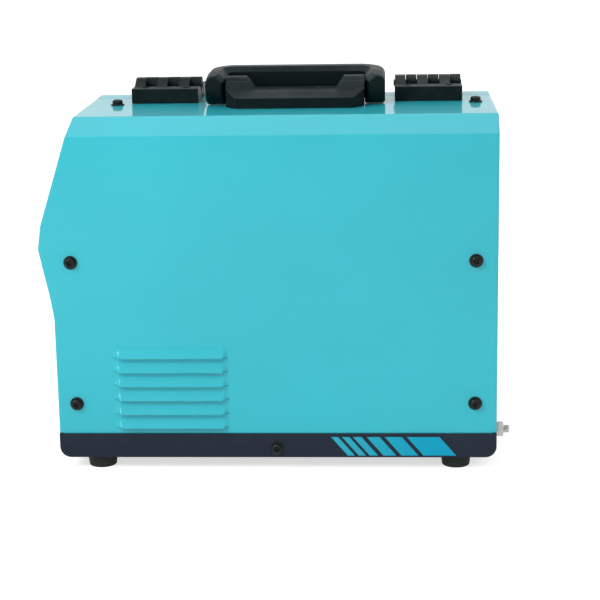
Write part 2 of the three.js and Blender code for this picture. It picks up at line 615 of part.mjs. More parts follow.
// Base: a plate with a sloping front and two ears that are round about the pivot.
function handleBase() {
  const half = HANDLE_SPAN / 2 - HANDLE_ARM - SEAT * 2;
  const eye = half - HANDLE_EAR;
  const round = HANDLE_EAR_TOP - HANDLE_PIVOT_RISE;
  const plan = outline([
    [-half, HANDLE_BASE_FRONT + HANDLE_CORNER * 1.4], [-half + HANDLE_CORNER, HANDLE_BASE_FRONT, 8],
    [half - HANDLE_CORNER, HANDLE_BASE_FRONT, 8], [half, HANDLE_BASE_FRONT + HANDLE_CORNER * 1.4],
    [half, HANDLE_BASE_BACK, 9], [-half, HANDLE_BASE_BACK, 9],
  ]);
  const front = outline([
    [-half, SEAT], [half, SEAT], [half, HANDLE_EAR_TOP], [eye, HANDLE_EAR_TOP], [eye - 9, HANDLE_PLATE],
    [-eye + 9, HANDLE_PLATE], [-eye, HANDLE_EAR_TOP], [-half, HANDLE_EAR_TOP],
  ]);
  const side = outline([
    [HANDLE_BASE_FRONT, SEAT], [HANDLE_BASE_BACK, SEAT], [HANDLE_BASE_BACK, HANDLE_PLATE],
    [HANDLE_PIVOT_Y + round, HANDLE_PLATE], [HANDLE_PIVOT_Y + round, HANDLE_EAR_TOP, round - 0.1],
    [HANDLE_PIVOT_Y - 9, HANDLE_EAR_TOP, 6], [HANDLE_PIVOT_Y - 11, HANDLE_EAR_STEP],
    [HANDLE_PIVOT_Y - 15, HANDLE_EAR_STEP], [HANDLE_PIVOT_Y - 20, HANDLE_PLATE + 1.5],
    [HANDLE_PIVOT_Y - 24, HANDLE_PLATE], [HANDLE_BASE_FRONT, HANDLE_LIP],
  ]);
  const body = prismZ(plan, [0, HANDLE_TOP])
    .intersect(prismY(front, ACROSS_HANDLE))
    .intersect(prismX(side, ACROSS_HANDLE));
  const wells = [-0.5, 0.5].map((k) => turned("z", [
    [0, -2], [2.5, -2], [2.5, 8], [HANDLE_SCREW_RADIUS, 8], [HANDLE_SCREW_RADIUS, 40], [0, 40],
  ], [k * HANDLE_SCREW_SPACING, HANDLE_SCREW_Y, 0]));
  const bores = [[eye - 2, half + 1], [-half - 1, -eye + 2]].map((span) => handleBore()
    .intersect(block(span, ACROSS_HANDLE, [0, 60])));
  return piece("handle_base", "blackPlastic", cut(body, ...wells, ...bores), [HANDLE_X, 0, TOP]);
}

// Grip: a flat U, arms forward to the pivots and the bar behind, sloped along its inner edge.
function handleGrip() {
  const half = HANDLE_SPAN / 2;
  const inner = half - HANDLE_ARM;
  const front = HANDLE_PIVOT_Y - HANDLE_HUB;
  const low = HANDLE_PIVOT_RISE - HANDLE_HUB;
  const side = outline([
    [front, low, HANDLE_HUB - 0.1], [HANDLE_PIVOT_Y + 8, low, 6], [HANDLE_BAR_Y, HANDLE_BAR_FLOOR, 8],
    [HANDLE_REACH, HANDLE_BAR_FLOOR, 5], [HANDLE_REACH, HANDLE_TOP, 7],
    [HANDLE_PIVOT_Y + 6, HANDLE_TOP, 20], [front, HANDLE_BROW, 3],
  ]);
  const view = outline([
    [-half, 0], [half, 0], [half, HANDLE_TOP - 2, 10], [half - 24, HANDLE_TOP, 30],
    [-half + 24, HANDLE_TOP, 30], [-half, HANDLE_TOP - 2, 10],
  ]);
  const plan = outline([
    [-half, front], [-inner - 4, front], [-inner, front + 9], [-inner, HANDLE_BAR_Y],
    [inner, HANDLE_BAR_Y], [inner, front + 9], [inner + 4, front], [half, front],
    [half, HANDLE_REACH, 18], [-half, HANDLE_REACH, 18],
  ]);
  const foot = HANDLE_TOP - HANDLE_BEVEL;
  const rim = HANDLE_BEVEL + 1;
  const funnel = prismY(outline([
    [-inner, foot], [inner, foot], [inner + rim, HANDLE_TOP + 1], [-inner - rim, HANDLE_TOP + 1],
  ]), ACROSS_HANDLE).intersect(prismX(outline([
    [front - 1, foot], [HANDLE_BAR_Y, foot], [HANDLE_BAR_Y + rim, HANDLE_TOP + 1],
    [front - 1, HANDLE_TOP + 1],
  ]), ACROSS_HANDLE));
  const underBar = block([-inner, inner], [HANDLE_BAR_Y - 9, HANDLE_REACH + 1], [0, HANDLE_BAR_FLOOR]);
  const grip = prismX(side, ACROSS_HANDLE, 3)
    .intersect(prismY(view, ACROSS_HANDLE))
    .intersect(prismZ(plan, [0, HANDLE_TOP]));
  return piece("handle_grip", "blackPlastic", cut(grip, handleBore(), funnel, underBar), [HANDLE_X, 0, TOP]);
}

// Stepped pivot pin: its head fills the arm's outer end and its shank stops inside the ear.
function handlePin(label, side) {
  const outer = HANDLE_SPAN / 2;
  const inner = outer - HANDLE_ARM - HANDLE_EAR;
  const span = side > 0 ? [inner, outer - 1] : [-outer + 1, -inner];
  return piece(`handle_pin_${label}`, "zinc", rod("x", HANDLE_PIN_RADIUS, span),
    [HANDLE_X, HANDLE_PIVOT_Y, TOP + HANDLE_PIVOT_RISE]);
}

// ---- Front panel --------------------------------------------------------------------------
// Frame of the sloping control face: local +Z points out of the face and local +Y up it.
function controlFrame() {
  const [, nose, brow] = FRONT_LINE;
  const up = new THREE.Vector3(brow[0] - nose[0], 0, brow[1] - nose[1]);
  const middle = new THREE.Vector3(nose[0] + FRONT_RECESS, 0, TRAY_BOTTOM + nose[1]);
  middle.addScaledVector(up, 0.52);
  up.normalize();
  const out = new THREE.Vector3(-up.z, 0, up.x);
  return new THREE.Matrix4().makeBasis(new THREE.Vector3(0, -1, 0), up, out).setPosition(middle);
}
const CONTROL = controlFrame();

const knobs = [
  { name: "voltage_knob", x: -KNOB_PITCH, scale: 1 },
  { name: "wire_speed_knob", x: 0, scale: 1 },
  { name: "inductance_knob", x: KNOB_PITCH, scale: 0.8 },
];
const ROCKER = { width: 13, length: 19, frame: 2.4, depth: 14 };
const POWER_ROCKER = { width: 18, length: 25, frame: 3, depth: 16 };

const outputSocketPlaces = [
  { name: "output_socket_positive", y: OUTPUT_SOCKET_Y[0] },
  { name: "output_socket_negative", y: OUTPUT_SOCKET_Y[1] },
];

function rockerHole({ width, length }) {
  return [[-width / 2 - SEAT, width / 2 + SEAT], [-length / 2 - SEAT, length / 2 + SEAT]];
}

// Room for the hem that the cover turns down along the seam.
function seamNotch() {
  const hem = SEAM_Y - SEAM_GAP / 2;
  return block(ALL_X, [hem - SHEET - SEAT, hem + SEAT], [TOP - SEAM_HEM - SEAT, TOP]);
}

function frontPanel() {
  const bottom = FLOOR + SEAT;
  const wide = [-CASE_WIDTH, CASE_WIDTH];
  const gap = SHEET + SEAT;
  const band = (shift, back, low) => prismY(sideView(low, shift), wide)
    .subtract(prismY(sideView(0, shift + back), wide));
  const outer = band(FRONT_RECESS, PANEL_FLANGE, bottom).intersect(insideCase(gap, bottom, ALL_X));
  const hollow = band(FRONT_RECESS + SHEET, PANEL_FLANGE, bottom + SHEET)
    .intersect(insideCase(gap + SHEET, bottom + SHEET, ALL_X));
  const lipHeights = [TRAY_RIM - SHEET - SEAT, TRAY_RIM + SEAT];
  const lipGap = block([-HALF_LENGTH, LOWER_FACE - SEAT / 2], wide, lipHeights);
  const display = block([-DISPLAY_WIDTH / 2 + 3, DISPLAY_WIDTH / 2 - 3],
    [DISPLAY_ROW - DISPLAY_HEIGHT / 2 + 3, DISPLAY_ROW + DISPLAY_HEIGHT / 2 - 3], [-6, 6]);
  const [rockerX, rockerY] = rockerHole(ROCKER);
  const rocker = block(rockerX.map((v) => v + SWITCH_COLUMN), rockerY.map((v) => v + DISPLAY_ROW), [-6, 6]);
  const shafts = knobs.map(({ x }) => rod("z", KNOB_SHAFT + RUN, [-6, 6], [x, KNOB_ROW, 0], 8));
  const controls = placedSolid(union(display, rocker, ...shafts), CONTROL);
  const through = [LOWER_FACE - 3, LOWER_FACE + 4];
  const sockets = outputSocketPlaces.map(({ y }) => rod("x", OUTPUT_NECK + SEAT, through,
    [0, y, TRAY_BOTTOM + OUTPUT_SOCKET_HEIGHT]));
  const torch = rod("x", TORCH_NECK + SEAT, through, [0, WIRE_Y, WIRE_Z]);
  const openings = [lipGap, controls, ...sockets, torch, ...screwHoles()];
  const panel = cut(outer, hollow, outsideTray(), seamNotch(), ...openings);
  return piece("front_panel", "navy", panel);
}

// Output socket: insulating collar outside the panel, brass-lined bore, body behind.
function outputSocket({ name, y }) {
  const outer = OUTPUT_SOCKET_RADIUS;
  const body = turned("x", [
    [0, 20], [OUTPUT_NECK, 20], [OUTPUT_NECK, -SEAT], [outer, -SEAT], [outer, -4], [outer - 3, -7],
    [outer - 5, -11.5], [OUTPUT_BORE + 2, -11.5], [OUTPUT_BORE, -10], [OUTPUT_BORE, 8], [0, 8],
  ]);
  const lug = block([18, 30], [-7, 7], [-2, 2]);
  const key = block([-12, -2], [-1.6, 1.6], [OUTPUT_BORE - 1, OUTPUT_BORE + 2.4]);
  const place = [LOWER_FACE, y, TRAY_BOTTOM + OUTPUT_SOCKET_HEIGHT];
  return piece(name, "blackPlastic", cut(union(body, lug), key), place);
}

// Torch socket: round collar with a wide bore in front and a guide tube that meets the feeder.
function torchSocket() {
  const reach = ROLL_X - FEEDER_LENGTH / 2 - SEAT - LOWER_FACE;
  const outer = TORCH_SOCKET_RADIUS;
  const body = ring("x", [
    [1.5, reach], [6, reach], [8, reach - 6], [TORCH_NECK, 14], [TORCH_NECK, -SEAT], [outer, -SEAT],
    [outer, -5], [outer - 4, -8], [outer - 6, -19], [TORCH_BORE + 1.5, -19], [TORCH_BORE, -17],
    [TORCH_BORE, 6], [1.5, 9],
  ]);
  const pinHoles = [-1, 1].map((side) => rod("x", 1.8, [-25, -6], [0, side * 10.8, 0], 6));
  return piece("torch_socket", "brass", cut(body, ...pinHoles), [LOWER_FACE, WIRE_Y, WIRE_Z]);
}

// Knob with a fluted skirt, a pointer groove and its own shaft through the panel.
function knobBody() {
  const flutes = 8;
  let body = turned("z", [
    [0, -11], [KNOB_SHAFT, -11], [KNOB_SHAFT, 0.8], [KNOB_RADIUS, 0.8], [KNOB_RADIUS, 3],
    [KNOB_RADIUS - 3, 5], [KNOB_RADIUS - 4, KNOB_HEIGHT - 1], [KNOB_RADIUS - 5, KNOB_HEIGHT],
    [0, KNOB_HEIGHT],
  ], [0, 0, 0], 16);
  for (let i = 0; i < flutes; i += 1) {
    const angle = ((i + 0.5) / flutes) * Math.PI * 2;
    const reach = KNOB_RADIUS - 2.2;
    const place = [Math.cos(angle) * reach, Math.sin(angle) * reach, 0];
    body = cut(body, rod("z", 1.6, [5.5, KNOB_HEIGHT + 1], place, 4));
  }
  return cut(body, block([-0.7, 0.7], [KNOB_RADIUS - 10, KNOB_RADIUS], [KNOB_HEIGHT - 1.2, KNOB_HEIGHT + 1]));
}

// Rocker switch: a framed body with an open well, and the rocker on its axle line inside it.
function rockerSwitch({ width, length, frame, depth }) {
  const [u, v] = [width / 2, length / 2];
  const rim = block([-u - frame, u + frame], [-v - frame, v + frame], [SEAT, frame - 0.4]);
  const body = block([-u, u], [-v, v], [-depth, frame - 0.5]);
  const well = block([-u + 1.2, u - 1.2], [-v + 1.2, v - 1.2], [-depth + 1.5, 10]);
  const [a, b] = [width / 2 - 1.2 - RUN, length / 2 - 2.2];
  const paddle = prismX(outline([
    [-b, frame - 3, 1], [0, -7, 2], [b, frame - 3, 1], [b, frame + 1.2, 1], [0, frame - 0.6, 6],
    [-b, frame + 1.2, 1],
  ]), [-a, a]);
  return { body: cut(union(rim, body), well), paddle };
}

function controlFace() {
  const face = new THREE.Group();
  face.setRotationFromMatrix(CONTROL);
  face.position.setFromMatrixPosition(CONTROL);
  const [w, h] = [DISPLAY_WIDTH / 2, DISPLAY_HEIGHT / 2];
  const bezel = prismZ(rectangle([-w, w], [-h, h], 3), [SEAT, 2.2]);
  const plug = block([-w + 3 + SEAT, w - 3 - SEAT], [-h + 3 + SEAT, h - 3 - SEAT], [-4, 1]);
  const glass = block([-w + 5, w - 5], [-h + 5, h - 5], [1.4, 4]);
  face.add(piece("display_window", "window", cut(union(bezel, plug), glass), [0, DISPLAY_ROW, 0]));
  knobs.forEach(({ name, x, scale }) => {
    const body = scale === 1 ? knobBody() : solid(geometryOf(knobBody().intersect(rod("z", 40, [0.8, 40])))
      .scale(scale, scale, 1)).add(rod("z", KNOB_SHAFT, [-11, 2]));
    face.add(piece(name, "blackPlastic", body, [x, KNOB_ROW, 0]));
  });
  const { body, paddle } = rockerSwitch(ROCKER);
  const rocker = piece("mode_rocker", "redPlastic", paddle, [SWITCH_COLUMN, DISPLAY_ROW, 0]);
  rocker.rotation.x = THREE.MathUtils.degToRad(ROCKER_TILT);
  face.add(piece("mode_switch_body", "blackPlastic", body, [SWITCH_COLUMN, DISPLAY_ROW, 0]), rocker);
  return face;
}

// ---- Rear panel ---------------------------------------------------------------------------
function rearPanel() {
  const bottom = FLOOR + SEAT;
  const gap = SHEET + SEAT;
  const outer = insideCase(gap, bottom, [REAR_FACE - PANEL_FLANGE, REAR_FACE]);
  const hollow = insideCase(gap + SHEET, bottom + SHEET, [REAR_FACE - PANEL_FLANGE - 1, REAR_FACE - SHEET]);
  const through = [REAR_FACE - 4, REAR_FACE + 2];
  const fan = rod("x", FAN_SIZE / 2 - 4, through, [0, FAN_Y, TRAY_BOTTOM + FAN_HEIGHT], 20);
  const gland = rod("x", 8 + SEAT, through, [0, GLAND_Y, TRAY_BOTTOM + GLAND_HEIGHT]);
  const gas = rod("x", 6 + SEAT, through, [0, GLAND_Y, TRAY_BOTTOM + GAS_HEIGHT]);
  const stud = rod("x", EARTH_STUD + SEAT, through, [0, EARTH_Y, TRAY_BOTTOM + EARTH_HEIGHT]);
  const [u, v] = rockerHole(POWER_ROCKER);
  const switchZ = TRAY_BOTTOM + POWER_SWITCH_HEIGHT;
  const power = block(through, u.map((y) => y + POWER_SWITCH_Y), v.map((z) => z + switchZ));
  const openings = [fan, gland, gas, stud, power, ...screwHoles()];
  return piece("rear_panel", "navy", cut(outer, hollow, outsideTray(), seamNotch(), ...openings));
}

// Wire guard: rings and a cross of spokes, seated on the rear panel.
function fanGrille() {
  const outer = FAN_SIZE / 2;
  let guard = rod("x", 8, [0, 2 * GRILLE_WIRE], [0, 0, 0], 12);
  for (let i = 1; i <= GRILLE_RINGS; i += 1) {
    const radius = 8 + ((outer - 8 - GRILLE_WIRE) * i) / GRILLE_RINGS;
    const hoop = new THREE.TorusGeometry(radius, GRILLE_WIRE, 4, 12).rotateY(Math.PI / 2);
    guard = guard.add(solid(hoop.translate(GRILLE_WIRE, 0, 0)));
  }
  const spoke = (angle) => solid(new THREE.CylinderGeometry(GRILLE_WIRE, GRILLE_WIRE, outer * 2 - 2, 4)
    .rotateX(angle).translate(GRILLE_WIRE, 0, 0));
  guard = guard.add(spoke(Math.PI / 4)).add(spoke(-Math.PI / 4));
  return piece("fan_grille", "zinc", guard, [REAR_FACE + SEAT, FAN_Y, TRAY_BOTTOM + FAN_HEIGHT]);
}

const FAN_X = REAR_FACE - SHEET - SEAT - FAN_DEPTH / 2;

function fanFrame() {
  const half = FAN_SIZE / 2;
  const depth = [-FAN_DEPTH / 2, FAN_DEPTH / 2];
  let frame = prismX(rectangle([-half, half], [-half, half], 6), depth);
  frame = cut(frame, rod("x", half - 2.5, [-FAN_DEPTH, FAN_DEPTH], [0, 0, 0], 20));
  const motor = rod("x", FAN_HUB - 1, [-FAN_DEPTH / 2, -FAN_DEPTH / 2 + 3], [0, 0, 0], 16);
  const strut = (angle) => solid(new THREE.BoxGeometry(3, 2 * half - 3, 4).rotateX(angle)
    .translate(-FAN_DEPTH / 2 + 1.5, 0, 0));
  const post = rod("x", 2.5, [-FAN_DEPTH / 2, 2], [0, 0, 0], 12);
  frame = union(frame, motor, strut(Math.PI / 4), strut(-Math.PI / 4), post);
  const corner = half - 4.8;
  const holes = [-1, 1].flatMap((a) => [-1, 1].map((b) => rod("x", 2.2, [-20, 20],
    [0, a * corner, b * corner], 6)));
  return piece("fan_frame", "blackPlastic", cut(frame, ...holes), [FAN_X, FAN_Y, TRAY_BOTTOM + FAN_HEIGHT]);
}

// Rotor: a hub that turns on the frame's post, with a ring of pitched blades.
function fanRotor() {
  const tip = FAN_SIZE / 2 - 4;
  const [near, far] = [-FAN_DEPTH / 2 + 4.5, FAN_DEPTH / 2 - 2];
  let rotor = cut(rod("x", FAN_HUB, [near, far]), rod("x", 2.5 + RUN, [near - 1, 3], [0, 0, 0], 12));
  for (let i = 0; i < FAN_BLADES; i += 1) {
    rotor = rotor.add(fanBlade(FAN_HUB - 1.5, tip, (i / FAN_BLADES) * Math.PI * 2));
  }
  return piece("fan_rotor", "blackPlastic", rotor, [FAN_X, FAN_Y, TRAY_BOTTOM + FAN_HEIGHT]);
}

// Flat pitched blade, wider at its tip, drawn along +Y and then turned about the shaft.
function fanBlade(root, tip, turn) {
  const plan = new THREE.Shape([[-6, root], [6, root], [10, tip - 3], [8, tip], [-9, tip - 1]]
    .map(([u, v]) => new THREE.Vector2(u, v)));
  const blade = extruded(plan, 1.6, 1).translate(0, 0, -0.8).rotateY(FAN_PITCH);
  return solid(blade.rotateX(turn).translate(1, 0, 0));
}

// Frame of a fitting on the rear panel: local +Z points out to the rear.
function rearFitting(y, height) {
  const group = new THREE.Group();
  group.rotation.set(0, Math.PI / 2, 0);
  group.position.set(REAR_FACE, y, TRAY_BOTTOM + height);
  return group;
}

function hexagon(acrossFlats) {
  const radius = acrossFlats / Math.sqrt(3);
  return outline([0, 1, 2, 3, 4, 5].map((i) => (i * Math.PI) / 3)
    .map((angle) => [radius * Math.cos(angle), radius * Math.sin(angle)]));
}

function rearFittings() {
  const gland = rearFitting(GLAND_Y, GLAND_HEIGHT);
  const collar = prismZ(hexagon(24), [SEAT, 5]);
  const barrel = ring("z", [[5, -14], [8, -14], [8, 2], [11, 2], [11, 7], [9.5, 11], [7, 11.5], [5, 10]]);
  gland.add(piece("cable_gland", "blackPlastic", union(collar.subtract(rod("z", 6.5, [-2, 9])), barrel)));

  const gas = rearFitting(GLAND_Y, GAS_HEIGHT);
  const nozzle = ring("z", [
    [2.2, -16], [6, -16], [6, 2], [5, 2.5], [5, 5], [4.2, 8], [5, 8], [3.6, 11.5], [2.2, 11.5],
  ]);
  const nut = prismZ(hexagon(17), [SEAT, 4.5]).subtract(rod("z", 4, [-2, 9]));
  gas.add(piece("gas_inlet", "brass", union(nozzle, nut)));

  return [gland, gas];
}

// Power switch: local x runs across the machine and local y up it.
function powerSwitch() {
  const group = new THREE.Group();
  const basis = new THREE.Matrix4().makeBasis(
    new THREE.Vector3(0, 1, 0), new THREE.Vector3(0, 0, 1), new THREE.Vector3(1, 0, 0));
  group.setRotationFromMatrix(basis);
  group.position.set(REAR_FACE, POWER_SWITCH_Y, TRAY_BOTTOM + POWER_SWITCH_HEIGHT);
  const { body, paddle } = rockerSwitch(POWER_ROCKER);
  const rocker = piece("power_rocker", "redPlastic", paddle);
  rocker.rotation.x = THREE.MathUtils.degToRad(ROCKER_TILT);
  group.add(piece("power_switch_body", "blackPlastic", body), rocker);
  return group;
}

function earthStud() {
  const group = rearFitting(EARTH_Y, EARTH_HEIGHT);
  const lip = REAR_RECESS;
  const head = prismZ(hexagon(13), [-SHEET - SEAT - 5.5, -SHEET - SEAT]);
  const stud = turned("z", [
    [0, -SHEET - 2], [EARTH_STUD, -SHEET - 2], [EARTH_STUD, lip + EARTH_STUD_PROUD - 1],
    [EARTH_STUD - 1, lip + EARTH_STUD_PROUD], [0, lip + EARTH_STUD_PROUD],
  ]);
  const bore = rod("z", EARTH_STUD + SEAT, [-2, 30]);
  const nutBase = lip + SEAT;
  const washer = rod("z", 8, [nutBase, nutBase + 1.8]);
  const nut = prismZ(hexagon(13), [nutBase + 1, nutBase + 8.4]);
  const crown = turned("z", [
    [0, nutBase], [8.2, nutBase], [8.2, nutBase + 6.6], [6.2, nutBase + 8.4], [0, nutBase + 8.4],
  ]);
  group.add(
    piece("earth_stud", "zinc", union(head, stud)),
    piece("earth_nut", "zinc", cut(union(nut, washer).intersect(crown), bore)),
  );
  return group;
}

// ---- Divider and wire drive ---------------------------------------------------------------
function dividerPlate() {
  const front = LOWER_FACE + PANEL_FLANGE + 2;
  const rear = REAR_FACE - PANEL_FLANGE - 2;
  const top = TOP - SHEET - SEAT;
  const wall = prismY(outline([
    [front, FLOOR + SEAT], [rear, FLOOR + SEAT], [rear, top, 6], [front + 25, top, 6],
    [front - 8, TRAY_BOTTOM + NOSE_HEIGHT, 20], [front, TRAY_BOTTOM + CHIN_HEIGHT, 20],
  ]), [DIVIDER_Y, DIVIDER_FAR]);
  const foot = FLOOR + SEAT;
  const footFlange = block([front, rear], [DIVIDER_Y - 16, DIVIDER_FAR], [foot, foot + SHEET]);
  const topFlange = block([front + 24, rear - 8], [DIVIDER_Y - 14, DIVIDER_FAR], [top - SHEET, top]);
  const through = [DIVIDER_Y - 1, DIVIDER_FAR + 1];
  const motor = rod("y", MOTOR_RADIUS + 1.5, through, [ROLL_X, 0, DRIVE_ROLL_Z], 20);
  const cable = rod("y", 13, through, [-150, 0, TRAY_BOTTOM + 190]);
  const bolt = rod("y", 4 + SEAT, through, [SPOOL_X, 0, TRAY_BOTTOM + SPOOL_HEIGHT]);
  return piece("divider_plate", "zinc", cut(union(wall, footFlange, topFlange), motor, cable, bolt));
}

// Cast feeder plate with the two fixed guide blocks and the lugs for the arm and the screw.
function feederPlate() {
  const [x0, x1] = [ROLL_X - FEEDER_LENGTH / 2, ROLL_X + FEEDER_LENGTH / 2];
  const low = WIRE_Z - FEEDER_HEIGHT * 0.58;
  const face = [DIVIDER_FAR + SEAT, FEEDER_FACE];
  const plate = prismY(rectangle([x0, x1], [low, low + FEEDER_HEIGHT], 8), face);
  const guideSpan = [FEEDER_FACE - 1, WIRE_Y + 8];
  const guide = (a, b) => prismY(rectangle([a, b], [WIRE_Z - 8, WIRE_Z + 6], 2), guideSpan);
  const exit = guide(x0, ROLL_X - ROLL_RADIUS - 4);
  const entry = guide(ROLL_X + ROLL_RADIUS - 1, ROLL_X + ROLL_RADIUS + 12);
  const clearRoll = rod("y", ROLL_RADIUS + 1.5, [FEEDER_FACE, WIRE_Y + 20], [ROLL_X, 0, DRIVE_ROLL_Z]);
  const wire = rod("x", 1.5, [x0 - 1, x1 + 1], [0, WIRE_Y, WIRE_Z], 8);
  const shaft = rod("y", 9, [DIVIDER_FAR - 1, FEEDER_FACE + 1], [ROLL_X, 0, DRIVE_ROLL_Z]);
  const armPin = rod("y", 4, [FEEDER_FACE - 1, WIRE_Y + ARM_WIDTH / 2 + 3],
    [ARM_PIVOT_X, 0, WIRE_Z + ARM_PIVOT_RISE]);
  const swingPin = rod("y", 3, [FEEDER_FACE - 1, WIRE_Y + 9], [TENSION_X, 0, WIRE_Z - TENSION_DROP]);
  const bolts = [x0 + 9, x1 - 9].flatMap((x) => [low + 9, low + FEEDER_HEIGHT - 9]
    .map((z) => rod("y", 3, [DIVIDER_FAR, FEEDER_FACE + 1], [x, 0, z], 8)));
  const body = union(plate, exit, entry.subtract(clearRoll), armPin, swingPin);
  return piece("feeder_plate", "aluminium", cut(body, wire, shaft, ...bolts));
}

// Gear motor behind the divider with its output shaft through the plate.
function feedMotor() {
  const back = DIVIDER_FAR - MOTOR_LENGTH;
  const place = [ROLL_X, 0, DRIVE_ROLL_Z];
  const can = turned("y", [
    [0, back], [9, back], [9, back + 4], [MOTOR_RADIUS - 3, back + 4], [MOTOR_RADIUS, back + 7],
    [MOTOR_RADIUS, back + 44], [MOTOR_RADIUS - 2, back + 45], [MOTOR_RADIUS - 2, back + 47],
    [MOTOR_RADIUS, back + 48], [MOTOR_RADIUS, DIVIDER_FAR], [0, DIVIDER_FAR],
  ], place, 18);
  const shaft = rod("y", 5, [DIVIDER_FAR - 1, WIRE_Y + ROLL_WIDTH / 2 + 3], place);
  return piece("feed_motor", "blackSteel", union(can, shaft));
}

// Grooved roll profile across its width, as [radius, height] pairs.
function rollRim() {
  const half = ROLL_WIDTH / 2;
  const groove = 1.2;
  return [
    [ROLL_RADIUS - 1, -half], [ROLL_RADIUS, -half + 1], [ROLL_RADIUS, -groove], [ROLL_RADIUS - groove, 0],
    [ROLL_RADIUS, groove], [ROLL_RADIUS, half - 1], [ROLL_RADIUS - 1, half],
  ];
}

function driveRoll() {
  const half = ROLL_WIDTH / 2;
  const body = ring("y", [[5 + SEAT, -half], ...rollRim(), [5 + SEAT, half]], [0, 0, 0], 16);
  const holes = [0, 1, 2].map((i) => {
    const angle = (i * Math.PI * 2) / 3 + 0.4;
    return rod("y", 1.8, [-20, 20], [Math.cos(angle) * 9.6, 0, Math.sin(angle) * 9.6], 6);
  });
  return piece("drive_roll", "zinc", cut(body, ...holes), [ROLL_X, WIRE_Y, DRIVE_ROLL_Z]);
}

function pressureRoll() {
  const half = ROLL_WIDTH / 2;
  const end = ARM_WIDTH / 2 - 0.5;
  const ends = [[4, half], [4, end], [0, end]];
  const body = turned("y", [[0, -end], [4, -end], [4, -half], ...rollRim(), ...ends], [0, 0, 0], 16);
  return piece("pressure_roll", "zinc", body, [ROLL_X, WIRE_Y, PRESSURE_ROLL_Z]);
}

// Arm: two cheeks joined over the roll, a pivot eye at one end and an open fork at the other.
function pressureArm() {
  const pivotZ = WIRE_Z + ARM_PIVOT_RISE;
  const tip = TENSION_X + 9;
  const low = WIRE_Z + 9;
  const shape = outline([
    [ARM_PIVOT_X - 9, pivotZ - 8, 7], [ARM_PIVOT_X + 8, pivotZ - 8, 3], [ROLL_X - 12, low + 2, 6],
    [ROLL_X + 14, low, 6], [tip, PRESSURE_ROLL_Z - 4, 3], [tip, PRESSURE_ROLL_Z + 8, 4],
    [TENSION_X - 13, PRESSURE_ROLL_Z + 8], [ROLL_X + 12, PRESSURE_ROLL_Z + 20, 8],
    [ROLL_X - 14, PRESSURE_ROLL_Z + 18, 8], [ARM_PIVOT_X - 9, pivotZ + 9, 7],
  ]);
  const across = [WIRE_Y - ARM_WIDTH / 2 + 1.5, WIRE_Y + ARM_WIDTH / 2];
  const body = prismY(shape, across);
  const pocket = rod("y", ROLL_RADIUS + 1.5, [WIRE_Y - ROLL_WIDTH / 2 - 1, WIRE_Y + ROLL_WIDTH / 2 + 1],
    [ROLL_X, 0, PRESSURE_ROLL_Z], 16);
  const mouth = block([ROLL_X - ROLL_RADIUS - 1.5, ROLL_X + ROLL_RADIUS + 1.5],
    [WIRE_Y - ROLL_WIDTH / 2 - 1, WIRE_Y + ROLL_WIDTH / 2 + 1], [WIRE_Z - 10, PRESSURE_ROLL_Z]);
  const axle = rod("y", 4 + RUN, [WIRE_Y - 30, WIRE_Y + 30], [ROLL_X, 0, PRESSURE_ROLL_Z]);
  const eye = rod("y", 4 + RUN, [WIRE_Y - 30, WIRE_Y + 30], [ARM_PIVOT_X, 0, pivotZ]);
  const fork = block([TENSION_X - 5, tip + 2], [WIRE_Y - 5, WIRE_Y + 5], [WIRE_Z, PRESSURE_ROLL_Z + 40]);
  return piece("pressure_arm", "greyPlastic", cut(body, pocket, mouth, axle, eye, fork));
}

// Tension screw: an eye on the swing pin, a threaded rod, a spring cup and a grip knob.
function tensionScrew() {
  const eye = cut(rod("y", 6.5, [-5, 5]), rod("y", 3 + RUN, [-6, 6]));
  const head = PRESSURE_ROLL_Z + 8 + 1 - (WIRE_Z - TENSION_DROP);
  const stem = rod("z", 3, [5.5, head + 2], [0, 0, 0], 10);
  const knob = turned("z", [
    [0, head], [8, head], [8, head + 4], [6, head + 6], [9, head + 9], [9, head + TENSION_LENGTH - 42],
    [6.5, head + TENSION_LENGTH - 38], [0, head + TENSION_LENGTH - 38],
  ], [0, 0, 0], 16);
  const place = [TENSION_X, WIRE_Y, WIRE_Z - TENSION_DROP];
  const mesh = piece("tension_screw", "blackPlastic", union(eye, stem, knob), place);
  mesh.rotation.y = THREE.MathUtils.degToRad(TENSION_REST);
  return mesh;
}

